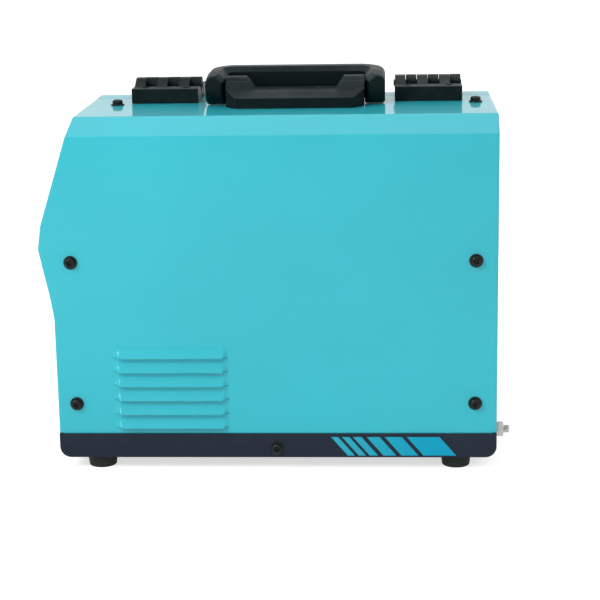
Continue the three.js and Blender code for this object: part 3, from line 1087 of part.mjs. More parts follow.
// Spool holder: a stepped axle bolted through the divider, a ribbed hub that turns on it and a nut.
function spoolHolder() {
  const place = [SPOOL_X, 0, TRAY_BOTTOM + SPOOL_HEIGHT];
  const seat = DIVIDER_FAR + SEAT;
  const hubStart = seat + 5 + SEAT;
  const hubEnd = hubStart + HUB_LENGTH;
  const axle = union(
    turned("y", [
      [0, DIVIDER_Y - 8], [4, DIVIDER_Y - 8], [4, seat], [18, seat], [18, seat + 5],
      [SPINDLE_RADIUS, seat + 5], [SPINDLE_RADIUS, hubEnd + 1], [5, hubEnd + 1], [5, hubEnd + 14],
      [0, hubEnd + 14],
    ], place),
    prismY(hexagon(13), [DIVIDER_Y - 6.5, DIVIDER_Y - SEAT]).translate(place),
  );
  const wall = SPINDLE_RADIUS + RUN;
  let hub = ring("y", [
    [wall, 0], [HUB_RADIUS + 8, 0], [HUB_RADIUS + 8, 3], [HUB_RADIUS, 3], [HUB_RADIUS, HUB_LENGTH - 5],
    [HUB_RADIUS - 2, HUB_LENGTH], [HUB_RADIUS - 5, HUB_LENGTH], [HUB_RADIUS - 5, 8], [wall + 3, 8],
    [wall + 3, HUB_LENGTH], [wall, HUB_LENGTH],
  ], [0, 0, 0], 16);
  for (let i = 0; i < 6; i += 1) {
    const rib = new THREE.BoxGeometry(HUB_RADIUS - 5 - wall, HUB_LENGTH - 12, 2)
      .translate((HUB_RADIUS + wall - 2) / 2, (HUB_LENGTH - 12) / 2 + 6, 0).rotateY((i * Math.PI) / 3);
    hub = hub.add(solid(rib));
  }
  const key = rod("y", 4, [2, 18], [HUB_RADIUS + 2.5, 0, 0], 10);
  const nutStart = hubEnd + 1 + SEAT;
  const grips = [0, 1, 2, 3, 4, 5].map((i) => (i * Math.PI) / 3)
    .map((angle) => rod("y", 2.4, [3.2, 20], [11.5 * Math.cos(angle), 0, 11.5 * Math.sin(angle)], 4));
  const nut = cut(turned("y", [[0, 0], [15, 0], [15, 3], [11, 5], [11, 12], [9, 15], [0, 15]]),
    rod("y", 5 + SEAT, [-1, 13 + SEAT]), ...grips);
  add(
    piece("spool_axle", "zinc", axle),
    piece("spool_hub", "greyPlastic", union(hub, key), [place[0], hubStart, place[2]]),
    piece("hub_nut", "blackPlastic", nut, [place[0], nutStart, place[2]]),
  );
}

// ---- Inner electrics ----------------------------------------------------------------------
// Laminated core with a wound coil round its middle leg, standing on two feet.
function woundCore(name, x, scale) {
  const [l, w, h] = [CORE_LENGTH * scale / 2, CORE_WIDTH * scale / 2, CORE_HEIGHT * scale];
  const leg = l / 3;
  const base = FLOOR + SEAT;
  const yoke = block([x - l, x + l], [INNER_Y - w, INNER_Y + w], [base + 4, base + h]);
  const windows = [-1, 1].map((side) => block([x + side * l * 0.5 - leg / 2, x + side * l * 0.5 + leg / 2],
    [INNER_Y - w - 1, INNER_Y + w + 1], [base + 4 + leg, base + h - leg]));
  const bulge = w + leg * 0.8;
  const coil = prismZ(rectangle([x - l * 0.66, x + l * 0.66], [INNER_Y - bulge, INNER_Y + bulge], 9),
    [base + 6 + leg, base + h - leg - 2]);
  const feet = [-1, 1].map((side) => block([x + side * (l - 5) - 8, x + side * (l - 5) + 8],
    [INNER_Y - w - 6, INNER_Y + w + 6], [base, base + 5]));
  return piece(name, "laminations", union(cut(yoke, ...windows), coil, ...feet));
}

// Finned heat sink hung on the divider's near side, and the board in front of its fins.
function heatSink() {
  const back = DIVIDER_Y - SEAT;
  const [x0, x1] = [SINK_X - SINK_LENGTH / 2, SINK_X + SINK_LENGTH / 2];
  const low = TRAY_BOTTOM + SINK_FLOOR;
  let sink = block([x0, x1], [back - 6, back], [low, low + SINK_HEIGHT]);
  for (let i = 0; i < SINK_FINS; i += 1) {
    const z = low + 1 + ((SINK_HEIGHT - 5) * i) / (SINK_FINS - 1);
    sink = sink.add(block([x0, x1], [back - SINK_DEPTH, back - 5], [z, z + 3]));
  }
  const posts = [-1, 1].flatMap((a) => [low + 1, low + SINK_HEIGHT - 4].map((z) => block(
    [SINK_X + a * (SINK_LENGTH / 2 - 12) - 4, SINK_X + a * (SINK_LENGTH / 2 - 12) + 4],
    [back - SINK_DEPTH - 10, back - SINK_DEPTH + 1], [z, z + 3])));
  return piece("heat_sink", "aluminium", union(sink, ...posts));
}

function circuitBoard() {
  const face = DIVIDER_Y - SEAT - SINK_DEPTH - 10 - SEAT;
  const low = TRAY_BOTTOM + SINK_FLOOR;
  const [x0, x1] = [SINK_X - SINK_LENGTH / 2, SINK_X + SINK_LENGTH / 2];
  let board = block([x0, x1], [face - 1.6, face], [low - 8, low + SINK_HEIGHT + 8]);
  [-60, -25, 10].forEach((dx) => {
    board = board.add(rod("y", 12, [face - 32, face - 1], [SINK_X + dx, 0, low + 40], 12));
  });
  board = board.add(block([SINK_X + 34, SINK_X + 80], [face - 22, face - 1], [low + 14, low + 56]));
  board = board.add(block([SINK_X - 70, SINK_X + 60], [face - 9, face - 1], [low + 84, low + 100]));
  return piece("circuit_board", "board", board);
}

// ---- Assembly -----------------------------------------------------------------------------
add(baseTray());
const feet = [["front_near", -1, -1], ["front_far", -1, 1], ["rear_near", 1, -1], ["rear_far", 1, 1]];
feet.forEach(([label, a, b]) => {
  add(foot(`foot_${label}`, a * (HALF_LENGTH - FOOT_INSET_X), b * (FAR_FACE - FOOT_INSET_Y)));
});
add(sideCover(), doorPanel());
screwPlaces.forEach((place) => add(coverScrew(place)));
add(doorLatch("latch_front", -LATCH_X), doorLatch("latch_rear", LATCH_X));
blockHinge("front", HINGE_X[0]);
blockHinge("rear", HINGE_X[1]);
add(handleBase(), handleGrip(), handlePin("front", -1), handlePin("rear", 1));
add(frontPanel(), controlFace(), torchSocket());
outputSocketPlaces.forEach((place) => add(outputSocket(place)));
add(rearPanel(), fanGrille(), fanFrame(), fanRotor(), ...rearFittings(), powerSwitch(), earthStud());
add(dividerPlate(), feederPlate(), feedMotor(), driveRoll(), pressureArm(), pressureRoll(), tensionScrew());
spoolHolder();
add(woundCore("transformer", TRANSFORMER_X, 1), woundCore("output_choke", REACTOR_X, 0.72));
add(heatSink(), circuitBoard());

export default machine;
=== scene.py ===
"""Finished look of a portable wire-feed welding machine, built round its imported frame.

Sizes are in millimetres and become metres when a mesh is made. -X is the control end, +X the rear,
-Y the screwed-on side, +Y the side with the lift-up door, +Z up, and the ground is at zero.
"""

import json
import logging
import math
from collections.abc import Callable, Iterable, Sequence
from dataclasses import dataclass, field
from enum import Enum

import bmesh
import bpy
import numpy as np
from mathutils import Matrix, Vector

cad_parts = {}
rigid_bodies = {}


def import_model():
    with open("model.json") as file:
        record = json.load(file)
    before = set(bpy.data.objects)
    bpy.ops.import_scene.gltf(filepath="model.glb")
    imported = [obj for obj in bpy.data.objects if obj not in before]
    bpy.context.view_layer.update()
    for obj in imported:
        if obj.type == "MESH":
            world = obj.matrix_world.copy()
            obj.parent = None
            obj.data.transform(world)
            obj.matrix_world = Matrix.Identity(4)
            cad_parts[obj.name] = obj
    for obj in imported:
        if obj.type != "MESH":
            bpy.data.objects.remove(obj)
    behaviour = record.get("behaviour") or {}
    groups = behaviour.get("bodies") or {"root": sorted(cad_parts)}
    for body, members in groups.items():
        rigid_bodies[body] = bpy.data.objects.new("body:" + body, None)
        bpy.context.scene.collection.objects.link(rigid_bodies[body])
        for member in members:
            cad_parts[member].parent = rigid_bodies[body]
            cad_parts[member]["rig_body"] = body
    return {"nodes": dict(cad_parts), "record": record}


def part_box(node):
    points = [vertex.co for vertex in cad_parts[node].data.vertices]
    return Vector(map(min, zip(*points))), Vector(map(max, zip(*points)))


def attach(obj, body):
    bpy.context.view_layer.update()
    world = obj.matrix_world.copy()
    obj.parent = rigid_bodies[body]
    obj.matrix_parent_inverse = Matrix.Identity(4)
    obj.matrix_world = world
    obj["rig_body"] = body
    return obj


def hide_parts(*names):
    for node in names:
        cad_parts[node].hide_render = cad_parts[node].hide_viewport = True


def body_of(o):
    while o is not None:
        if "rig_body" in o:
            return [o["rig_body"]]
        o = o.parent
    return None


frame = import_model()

LOG = logging.getLogger("welding_machine")
Array = np.ndarray
Floats = Sequence[float]
Pair = tuple[float, float]
Socket = bpy.types.NodeSocket
Shaping = Callable[[Array, Array, Array], tuple[Array, Array]]

MM = 0.001
FULL_TURN = 2 * math.pi
RING = 24  # points of a rectangle whose four corners have five steps each
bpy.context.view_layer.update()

# Sizes shared by more than one sub-assembly.
TRAY_BOTTOM = 13.0
TRAY_RIM = 38.0
TOP = 353.0
HALF_LENGTH = 218.0
FAR_FACE = 107.5
NEAR_FACE = 105.7
SHEET = 1.5
SEAT = 0.3
RUN = 0.3


# ---- Surfaces -----------------------------------------------------------------------------------
@dataclass
class Shell:
    """A surface: points in millimetres, and faces as rows of point numbers."""

    points: Array
    faces: list[list[int]]

    def moved(self, shift: Floats) -> "Shell":
        """This surface moved by shift."""
        return Shell(self.points + np.asarray(shift, float), self.faces)

    def capped(self, count: int) -> "Shell":
        """This surface with a face on its first and on its last count points."""
        last = len(self.points) - count
        return Shell(self.points, [*self.faces, list(range(count)), list(range(last, last + count))])

    def turned(self, basis: Array, shift: Floats) -> "Shell":
        """This surface carried into a frame: basis holds the frame's axes as columns, shift its origin."""
        return Shell(self.points @ np.asarray(basis, float).T + np.asarray(shift, float), self.faces)


def joined(shells: Iterable[Shell]) -> Shell:
    """All the shells as one surface, with their faces renumbered."""
    shells = list(shells)
    starts = np.cumsum([0] + [len(shell.points) for shell in shells])
    faces = [[number + int(start) for number in face] for shell, start in zip(shells,
        starts) for face in shell.faces]
    return Shell(np.concatenate([shell.points for shell in shells]), faces)


def unit(vectors: Array) -> Array:
    """Vectors scaled to length one."""
    return vectors / np.maximum(np.linalg.norm(vectors, axis=-1, keepdims=True), 1e-12)


def grid(points: Array, wrap_rows: bool = False, wrap_columns: bool = False,
        kept: Array | None = None) -> Shell:
    """Quads between neighbours on a grid of points.

    Args:
        points: array of rows x columns x 3.
        wrap_rows: joins the last row to the first.
        wrap_columns: joins the last column to the first.
        kept: True for each cell that gets a face; all of them if it is left out.

    Returns:
        The surface of the grid.
    """
    rows, columns = points.shape[:2]
    row = np.arange(rows if wrap_rows else rows - 1)[:, None]
    column = np.arange(columns if wrap_columns else columns - 1)[None, :]
    below, right = (row + 1) % rows, (column + 1) % columns
    cells = np.stack([row * columns + column, row * columns + right, below * columns + right,
        below * columns + column], -1)
    chosen = cells.reshape(-1, 4) if kept is None else cells[kept]
    return Shell(points.reshape(-1, 3), chosen.tolist())


def rounded(corners: Sequence[Floats], steps: int = 6, closed: bool = True) -> Array:
    """Outline through corners (u, v, radius), each replaced by an arc tangent to both of its sides.

    An arc's centre lies on the bisector of its corner, radius / sin(half the corner's angle) away.

    Args:
        corners: the corners in order; a missing radius is none.
        steps: chords in an arc.
        closed: False for an open run, whose ends stay as they are.

    Returns:
        Points of the outline, N x 2.
    """
    runs = []
    count = len(corners)
    for i, (u, v, *rest) in enumerate(corners):
        here, radius = np.array((u, v), float), (rest or [0.0])[0]
        if radius <= 0 or (not closed and i in (0, count - 1)):
            runs.append(here[None])
            continue
        back = unit(np.array(corners[i - 1][:2], float) - here)
        ahead = unit(np.array(corners[(i + 1) % count][:2], float) - here)
        half = math.acos(float(np.clip(back @ ahead, -1, 1))) / 2
        centre = here + unit(back + ahead) * radius / math.sin(half)
        first, last = (here + side * radius / math.tan(half) - centre for side in (back, ahead))
        start = math.atan2(first[1], first[0])
        sweep = (math.atan2(last[1], last[0]) - start + math.pi) % FULL_TURN - math.pi
        angles = start + sweep * np.linspace(0, 1, steps + 1)
        runs.append(centre + radius * np.stack([np.cos(angles), np.sin(angles)], -1))
    return np.concatenate(runs)


def spaced(start: float, stop: float, step: float) -> Array:
    """Even places from start to stop, as near to a step apart as they divide."""
    return np.linspace(start, stop, max(1, round(abs(stop - start) / step)) + 1)


def rectangle(width: float, height: float, radius: float = 0.0, steps: int = 5) -> Array:
    """Outline of a rectangle round the origin with rounded corners."""
    u, v = width / 2, height / 2
    return rounded([(-u, -v, radius), (u, -v, radius), (u, v, radius), (-u, v, radius)], steps)


def stacked(rings: Sequence[Floats], wrap_rows: bool = False) -> Shell:
    """Rounded rectangles (width, height, corner radius, z) joined in order, and round if wrapped."""
    loops = [np.concatenate([rectangle(*size), np.full((RING, 1), z)], 1) for *size, z in rings]
    return grid(np.stack(loops), wrap_rows, True)


AXIS_ORDER = {"x": (2, 0, 1), "y": (0, 2, 1), "z": (0, 1, 2)}


def along(axis: str, u: Array, v: Array, height: Array) -> Array:
    """Points whose u and v lie across the axis and whose height lies along it.

    Across x they are (y, z), across y (x, z) and across z (x, y).
    """
    return np.stack([u, v, height], -1)[..., AXIS_ORDER[axis]]


def turning(axis: str, angle: float) -> Array:
    """Turn by an angle in radians about an axis, as a matrix; about y it carries x towards -z."""
    c, s = math.cos(angle), math.sin(angle)
    rows = {"x": [(1, 0, 0), (0, c, -s), (0, s, c)], "y": [(c, 0, s), (0, 1, 0), (-s, 0, c)],
        "z": [(c, -s, 0), (s, c, 0), (0, 0, 1)]}
    return np.array(rows[axis])


def prism(outline: Array, span: Floats, axis: str = "z", at: Floats = (0, 0, 0)) -> Shell:
    """Solid between two copies of an outline: one at each end of the span along the axis."""
    count = len(outline)
    ends = [along(axis, outline[:, 0], outline[:, 1], np.full(count, height)) for height in span]
    sides = grid(np.stack(ends), wrap_columns=True)
    caps = [list(range(count)), list(range(2 * count - 1, count - 1, -1))]
    return Shell(sides.points + np.asarray(at, float), sides.faces + caps)


def block(x: Floats, y: Floats, z: Floats) -> Shell:
    """Box between two corners, given as its spans along x, y and z."""
    outline = np.array([(x[0], y[0]), (x[1], y[0]), (x[1], y[1]), (x[0], y[1])], float)
    return prism(outline, z)


def revolved(profile: Sequence[Floats] | Array, axis: str = "z", at: Floats = (0, 0, 0),
        turns: int = 48, shaping: Shaping | None = None, hollow: bool = False) -> Shell:
    """Surface of revolution: each profile point (radius, height) carried once round the axis.

    Args:
        profile: from pole to pole, or a closed loop if hollow.
        axis: the axis, x, y or z.
        at: a point on the axis, from which heights are taken.
        turns: steps round the axis.
        shaping: takes arrays of angle, radius and height and returns the new radius and height.
        hollow: closes the profile on itself, clear of the axis.

    Returns:
        The closed surface.
    """
    profile = np.asarray(profile, float)
    angle = np.linspace(0, FULL_TURN, turns, endpoint=False)[None, :]
    radius = np.repeat(profile[:, :1], turns, 1)
    height = np.repeat(profile[:, 1:2], turns, 1)
    if shaping:
        radius, height = shaping(angle, radius, height)
    points = along(axis, radius * np.cos(angle), radius * np.sin(angle), height)
    return grid(points + np.asarray(at, float), wrap_rows=hollow, wrap_columns=True)


def rod(radius: float, span: Floats, axis: str, at: Floats, turns: int = 40) -> Shell:
    """Plain round bar about an axis, mostly used as a cutter."""
    return revolved([(0, span[0]), (radius, span[0]), (radius, span[1]), (0, span[1])], axis, at, turns)


def bored(outline: Array, radius: float, span: Floats, axis: str = "x") -> Shell:
    """Prism of an outline with a round bore on its axis: a bore point lies on the ray to each outline point.

    Args:
        outline: points round the bore, N x 2, each in sight of its middle.
        radius: of the bore.
        span: both ends along the axis.
        axis: the axis, x, y or z.

    Returns:
        The closed surface.
    """
    edges = np.stack([outline, np.roll(outline, -1, 0)], 1)
    share = np.linspace(0, 1, 4, endpoint=False)[None, :, None]
    fine = (edges[:, :1] * (1 - share) + edges[:, 1:] * share).reshape(-1, 2)
    hole = radius * unit(fine)
    runs = [(fine, span[0]), (fine, span[1]), (hole, span[1]), (hole, span[0])]
    rings = np.stack([along(axis, run[:, 0], run[:, 1], np.full(len(run), height)) for run, height in runs])
    return grid(rings, wrap_rows=True, wrap_columns=True)


def walked(run: Array, share: Array) -> Array:
    """Points at the given shares of a run's length."""
    length = np.concatenate([[0], np.cumsum(np.linalg.norm(np.diff(run, axis=0), axis=1))])
    return np.stack([np.interp(share * length[-1], length, run[:, k]) for k in (0, 1)], -1)


def resampled(run: Array, step: float) -> Array:
    """A run of points with each of its sides cut into equal parts no longer than a step."""
    sides = np.linalg.norm(np.diff(run, axis=0), axis=1)
    length = np.concatenate([[0], np.cumsum(sides)])
    parts = [spaced(a, b, step)[:-1] if b - a > step else [a] for a, b in zip(length[:-1], length[1:])]
    places = np.concatenate([*parts, [length[-1]]])
    return np.stack([np.interp(places, length, run[:, k]) for k in (0, 1)], -1)


def tube(path: Array, radius: float, across: Floats, sides: int = 10, closed: bool = False) -> Shell:
    """Round bar along a path: a circle of that radius carried along, square to the path.

    Args:
        path: N x 3 points of the middle line.
        radius: of the bar.
        across: a direction that the path never runs along, which sets the circle's start.
        sides: points in the circle.
        closed: joins the last circle to the first.

    Returns:
        The bar, with a fan over each open end.
    """
    path = np.asarray(path, float)
    if closed:
        ahead = unit(np.roll(path, -1, 0) - np.roll(path, 1, 0))
    else:
        ahead = unit(np.gradient(path, axis=0))
    first = unit(np.cross(np.broadcast_to(np.asarray(across, float), ahead.shape), ahead))
    second = np.cross(ahead, first)
    angle = np.linspace(0, FULL_TURN, sides, endpoint=False)[None, :, None]
    circle = np.cos(angle) * first[:, None] + np.sin(angle) * second[:, None]
    rings = path[:, None] + radius * circle
    if not closed:
        ends = [np.repeat(path[i][None, None], sides, 1) for i in (0, -1)]
        rings = np.concatenate([ends[0], rings, ends[1]])
    return grid(rings, wrap_rows=closed, wrap_columns=True)


def helix(radius: float, pitch: float, turns: float, axis: str, at: Floats, steps: int = 24) -> Array:
    """Path that climbs by the pitch in each turn at a steady radius about the axis."""
    angle = np.linspace(0, turns, int(turns * steps) + 1) * FULL_TURN
    height = pitch * angle / FULL_TURN
    return along(axis, radius * np.cos(angle), radius * np.sin(angle), height) + np.asarray(at, float)


# ---- Meshes -------------------------------------------------------------------------------------
def node_box(node: str) -> tuple[Array, Array]:
    """Lowest and highest corner of a frame node, in millimetres."""
    low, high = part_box(node)
    return np.array(low) / MM, np.array(high) / MM


def node_centre(node: str) -> Array:
    """Middle of a frame node's box, in millimetres."""
    low, high = node_box(node)
    return (low + high) / 2


def placed(name: str, data: bpy.types.ID) -> bpy.types.Object:
    """New object in the scene, for a mesh, lamp or camera."""
    made = bpy.data.objects.new(name, data)
    bpy.context.scene.collection.objects.link(made)
    return made


def posed(made: bpy.types.Object, axes: Sequence[Array], place: Floats) -> None:
    """Gives an object its three axes and its place, in metres."""
    pose = np.eye(4)
    pose[:3, :3], pose[:3, 3] = np.stack(axes, 1), place
    made.matrix_world = Matrix(pose.tolist())


def mesh_of(name: str, shell: Shell, closed: bool, crease: float) -> bpy.types.Mesh:
    """Mesh of a surface in metres, with doubled points joined, and sharp edges past the crease angle."""
    mesh = bpy.data.meshes.new(name)
    mesh.from_pydata((shell.points * MM).tolist(), [], shell.faces)
    worked = bmesh.new()
    worked.from_mesh(mesh)
    bmesh.ops.remove_doubles(worked, verts=worked.verts, dist=2e-6)
    bmesh.ops.dissolve_degenerate(worked, edges=worked.edges, dist=1e-6)
    if closed:
        bmesh.ops.recalc_face_normals(worked, faces=worked.faces)
    worked.to_mesh(mesh)
    worked.free()
    smoothed(mesh, crease)
    return mesh


def smoothed(mesh: bpy.types.Mesh, crease: float) -> None:
    """Shades the mesh smooth, with edges past the crease angle in degrees kept sharp."""
    mesh.polygons.foreach_set("use_smooth", np.ones(len(mesh.polygons), bool))
    mesh.set_sharp_from_angle(angle=math.radians(crease))


def carved(mesh: bpy.types.Mesh, others: Sequence[Shell], operation: str, crease: float) -> bpy.types.Mesh:
    """Mesh with each other closed surface cut out of it (DIFFERENCE) or its share kept (INTERSECT)."""
    made = placed("carved", mesh)
    tools = []
    for other in others:
        tool = placed("tool", mesh_of("tool", other, True, 180))
        step = made.modifiers.new("carve", "BOOLEAN")
        step.object, step.operation, step.solver = tool, operation, "EXACT"
        tools.append(tool)
    shaped = bpy.data.meshes.new_from_object(made.evaluated_get(bpy.context.evaluated_depsgraph_get()))
    for used in (made, *tools):
        bpy.data.objects.remove(used)
    smoothed(shaped, crease)
    return shaped


def copied_mesh(node: str, crease: float) -> bpy.types.Mesh:
    """Copy of a frame node's mesh with its loose triangles joined and its flat faces made whole."""
    mesh = frame["nodes"][node].data.copy()
    worked = bmesh.new()
    worked.from_mesh(mesh)
    bmesh.ops.remove_doubles(worked, verts=worked.verts, dist=5e-6)
    bmesh.ops.dissolve_limit(worked, angle_limit=math.radians(0.6), verts=worked.verts, edges=worked.edges)
    worked.to_mesh(mesh)
    worked.free()
    if mesh.has_custom_normals:
        with bpy.context.temp_override(object=frame["nodes"][node]):
            mesh.attributes.remove(mesh.attributes["custom_normal"])
    smoothed(mesh, crease)
    return mesh


@dataclass
class Piece:
    """One finished piece of the machine.

    Attributes:
        node: the frame node it stands for; its name and body come from it.
        finish: the material that dresses it.
        shell: its surface; none takes a copy of the node's own.
        bevel: radius that rounds its edges, in bevel_steps chords.
        wall: thickness given to an open surface, on the side away from its faces.
        crease: angle in degrees past which an edge stays sharp.
        label: its own name, where the node's isn't enough.
        hides: whether the node gives way to it.
        within: closed surfaces that it is cut down to.
        cuts: closed surfaces cut out of it.
    """

    node: str
    finish: "Finish"
    shell: Shell | None = None
    bevel: float = 0.0
    bevel_steps: int = 2
    wall: float = 0.0
    crease: float = 35.0
    label: str = ""
    hides: bool = True
    within: Sequence[Shell] = ()
    cuts: Sequence[Shell] = ()

    def build(self) -> bpy.types.Object:
        """Makes the object, dresses it and sets it on its body."""
        name = self.label or f"{self.node}_made"
        if self.shell is None:
            mesh = copied_mesh(self.node, self.crease)
        else:
            mesh = mesh_of(name, self.shell, self.wall == 0, self.crease)
        for others, operation in ((self.within, "INTERSECT"), (self.cuts, "DIFFERENCE")):
            if others:
                mesh = carved(mesh, others, operation, self.crease)
        mesh.materials.clear()
        mesh.materials.append(self.finish.material())
        made = placed(name, mesh)
        if self.wall:
            solid = made.modifiers.new("wall", "SOLIDIFY")
            solid.thickness, solid.offset, solid.use_even_offset = self.wall * MM, -1.0, True
        if self.bevel:
            edge = made.modifiers.new("edges", "BEVEL")
            edge.width, edge.segments, edge.limit_method = self.bevel * MM, self.bevel_steps, "ANGLE"
            edge.angle_limit, edge.miter_outer = math.radians(30), "MITER_ARC"
        even = made.modifiers.new("flats", "WEIGHTED_NORMAL")
        even.keep_sharp, even.weight = True, 60
        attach(made, body_of(frame["nodes"][self.node])[0])
        if self.hides:
            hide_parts(self.node)
        LOG.info("%s: %d faces in %s", name, len(mesh.polygons), self.finish.slot)
        return made


# ---- Finishes -----------------------------------------------------------------------------------
Colour = tuple[float, float, float]


def linear(red: int, green: int, blue: int) -> Colour:
    """A colour written in 0-255 screen values, as linear light."""
    screen = np.array((red, green, blue)) / 255
    light = np.where(screen <= 0.04045, screen / 12.92, ((screen + 0.055) / 1.055) ** 2.4)
    return tuple(float(value) for value in light)


class Wiring:
    """A node tree with short ways to add nodes and join their sockets."""

    def __init__(self, tree: bpy.types.NodeTree) -> None:
        """Starts on an emptied tree."""
        tree.nodes.clear()
        self.tree = tree

    def node(self, kind: str, inputs: dict | None = None, **settings: object) -> bpy.types.Node:
        """Adds a node.

        Args:
            kind: the node's type, without its ShaderNode prefix.
            inputs: value or socket for each input, by name or number.
            settings: the node's own settings.

        Returns:
            The node.
        """
        made = self.tree.nodes.new("ShaderNode" + kind)
        for name, value in settings.items():
            setattr(made, name, value)
        for key, value in (inputs or {}).items():
            self.put(made.inputs[key], value)
        return made

    def put(self, socket: Socket, value: object) -> None:
        """Joins a socket to another, or gives it a plain value; a colour gets its alpha."""
        if isinstance(value, Socket):
            self.tree.links.new(value, socket)
        elif socket.type == "RGBA" and len(value) == 3:
            socket.default_value = (*value, 1.0)
        else:
            socket.default_value = value

    def math(self, operation: str, first: object, second: object = 0.0, third: object = 0.0) -> Socket:
        """Result of a Math node on up to three values or sockets."""
        return self.node("Math", {0: first, 1: second, 2: third}, operation=operation).outputs[0]

    def blend(self, share: object, first: object, second: object) -> Socket:
        """Colour between two colours."""
        made = self.node("Mix", data_type="RGBA")
        for key, value in ((0, share), (6, first), (7, second)):
            self.put(made.inputs[key], value)
        return made.outputs[2]

    def ramp(self, value: object, low: float, high: float) -> Socket:
        """0 below low, 1 above high and a smooth step between them."""
        return self.node("MapRange", {0: value, 1: low, 2: high}, interpolation_type="SMOOTHSTEP").outputs[0]

    def noise(self, scale: object, detail: float = 3.0, stretch: object = (1, 1, 1)) -> Socket:
        """Noise in the object's own coordinates, stretched by a factor along each axis."""
        place = self.node("TexCoord").outputs["Object"]
        spread = self.node("VectorMath", {0: place, 1: stretch}, operation="MULTIPLY").outputs[0]
        return self.node("TexNoise", {"Vector": spread, "Scale": scale, "Detail": detail}).outputs[0]


def effect_group(name: str, inputs: dict[str, object], outputs: Sequence[str],
        wire: Callable[[Wiring, Callable[[str], Socket]], dict]) -> bpy.types.NodeTree:
    """Shared effect as a shader node group, built the first time that it is asked for.

    Args:
        name: the group's name.
        inputs: default of each input; three numbers make a vector.
        outputs: names of the outputs, all single values.
        wire: builds the inside, and returns the socket for each output.

    Returns:
        The group.
    """
    if name in bpy.data.node_groups:
        return bpy.data.node_groups[name]
    group = bpy.data.node_groups.new(name, "ShaderNodeTree")
    for key, default in inputs.items():
        kind = "NodeSocketFloat" if isinstance(default, float) else "NodeSocketVector"
        group.interface.new_socket(key, in_out="INPUT", socket_type=kind).default_value = default
    for key in outputs:
        group.interface.new_socket(key, in_out="OUTPUT", socket_type="NodeSocketFloat")
    wiring = Wiring(group)
    entry = group.nodes.new("NodeGroupInput")
    leave = group.nodes.new("NodeGroupOutput")
    for key, socket in wire(wiring, lambda key: entry.outputs[key]).items():
        group.links.new(socket, leave.inputs[key])
    return group


def relief_group() -> bpy.types.NodeTree:
    """Fine relief of a surface: noise at a scale, stretched along the axes, and a slow change of tone."""

    def wire(wiring: Wiring, entry: Callable[[str], Socket]) -> dict:
        """Height is the fine noise; Tone is a noise a hundred times as wide."""
        fine = wiring.noise(entry("Scale"), 4.0, entry("Stretch"))
        return {"Height": fine, "Tone": wiring.noise(entry("Cloud"), 2.0)}

    return effect_group("fine_relief", {"Scale": 900.0, "Stretch": (1.0, 1.0, 1.0), "Cloud": 6.0},
        ["Height", "Tone"], wire)


def wear_and_highlight_group() -> bpy.types.NodeTree:
    """Edge mask where the surface is more convex than its surroundings, broken up by noise: rubbed wear on
    most finishes, a painted highlight along the turquoise paint's bends, and partly both on the black
    plastic.
    """

    def wire(wiring: Wiring, entry: Callable[[str], Socket]) -> dict:
        """Mask is Amount times the convexity past a limit times a patchy noise."""
        convex = wiring.ramp(wiring.node("NewGeometry").outputs["Pointiness"], 0.52, 0.62)
        patchy = wiring.ramp(wiring.noise(entry("Scale"), 6.0), 0.42, 0.66)
        return {"Mask": wiring.math("MULTIPLY", wiring.math("MULTIPLY", convex, patchy), entry("Amount"))}

    return effect_group("edge_wear_and_highlight", {"Amount": 0.3, "Scale": 60.0}, ["Mask"], wire)


DUST_TINT = (0.33, 0.41, 0.4)


def dust_group() -> bpy.types.NodeTree:
    """Settled dust: more of it where the surface faces up, in faint clouds."""

    def wire(wiring: Wiring, entry: Callable[[str], Socket]) -> dict:
        """Mask is Amount times the upward share of the normal times a cloudy noise."""
        up = wiring.node("SeparateXYZ", {0: wiring.node("NewGeometry").outputs["Normal"]}).outputs[2]
        faces_up = wiring.ramp(up, 0.0, 0.7)
        cloud = wiring.ramp(wiring.noise(entry("Scale"), 5.0), 0.35, 0.75)
        return {"Mask": wiring.math("MULTIPLY", wiring.math("MULTIPLY", faces_up, cloud), entry("Amount"))}

    return effect_group("settled_dust", {"Amount": 0.1, "Scale": 14.0}, ["Mask"], wire)


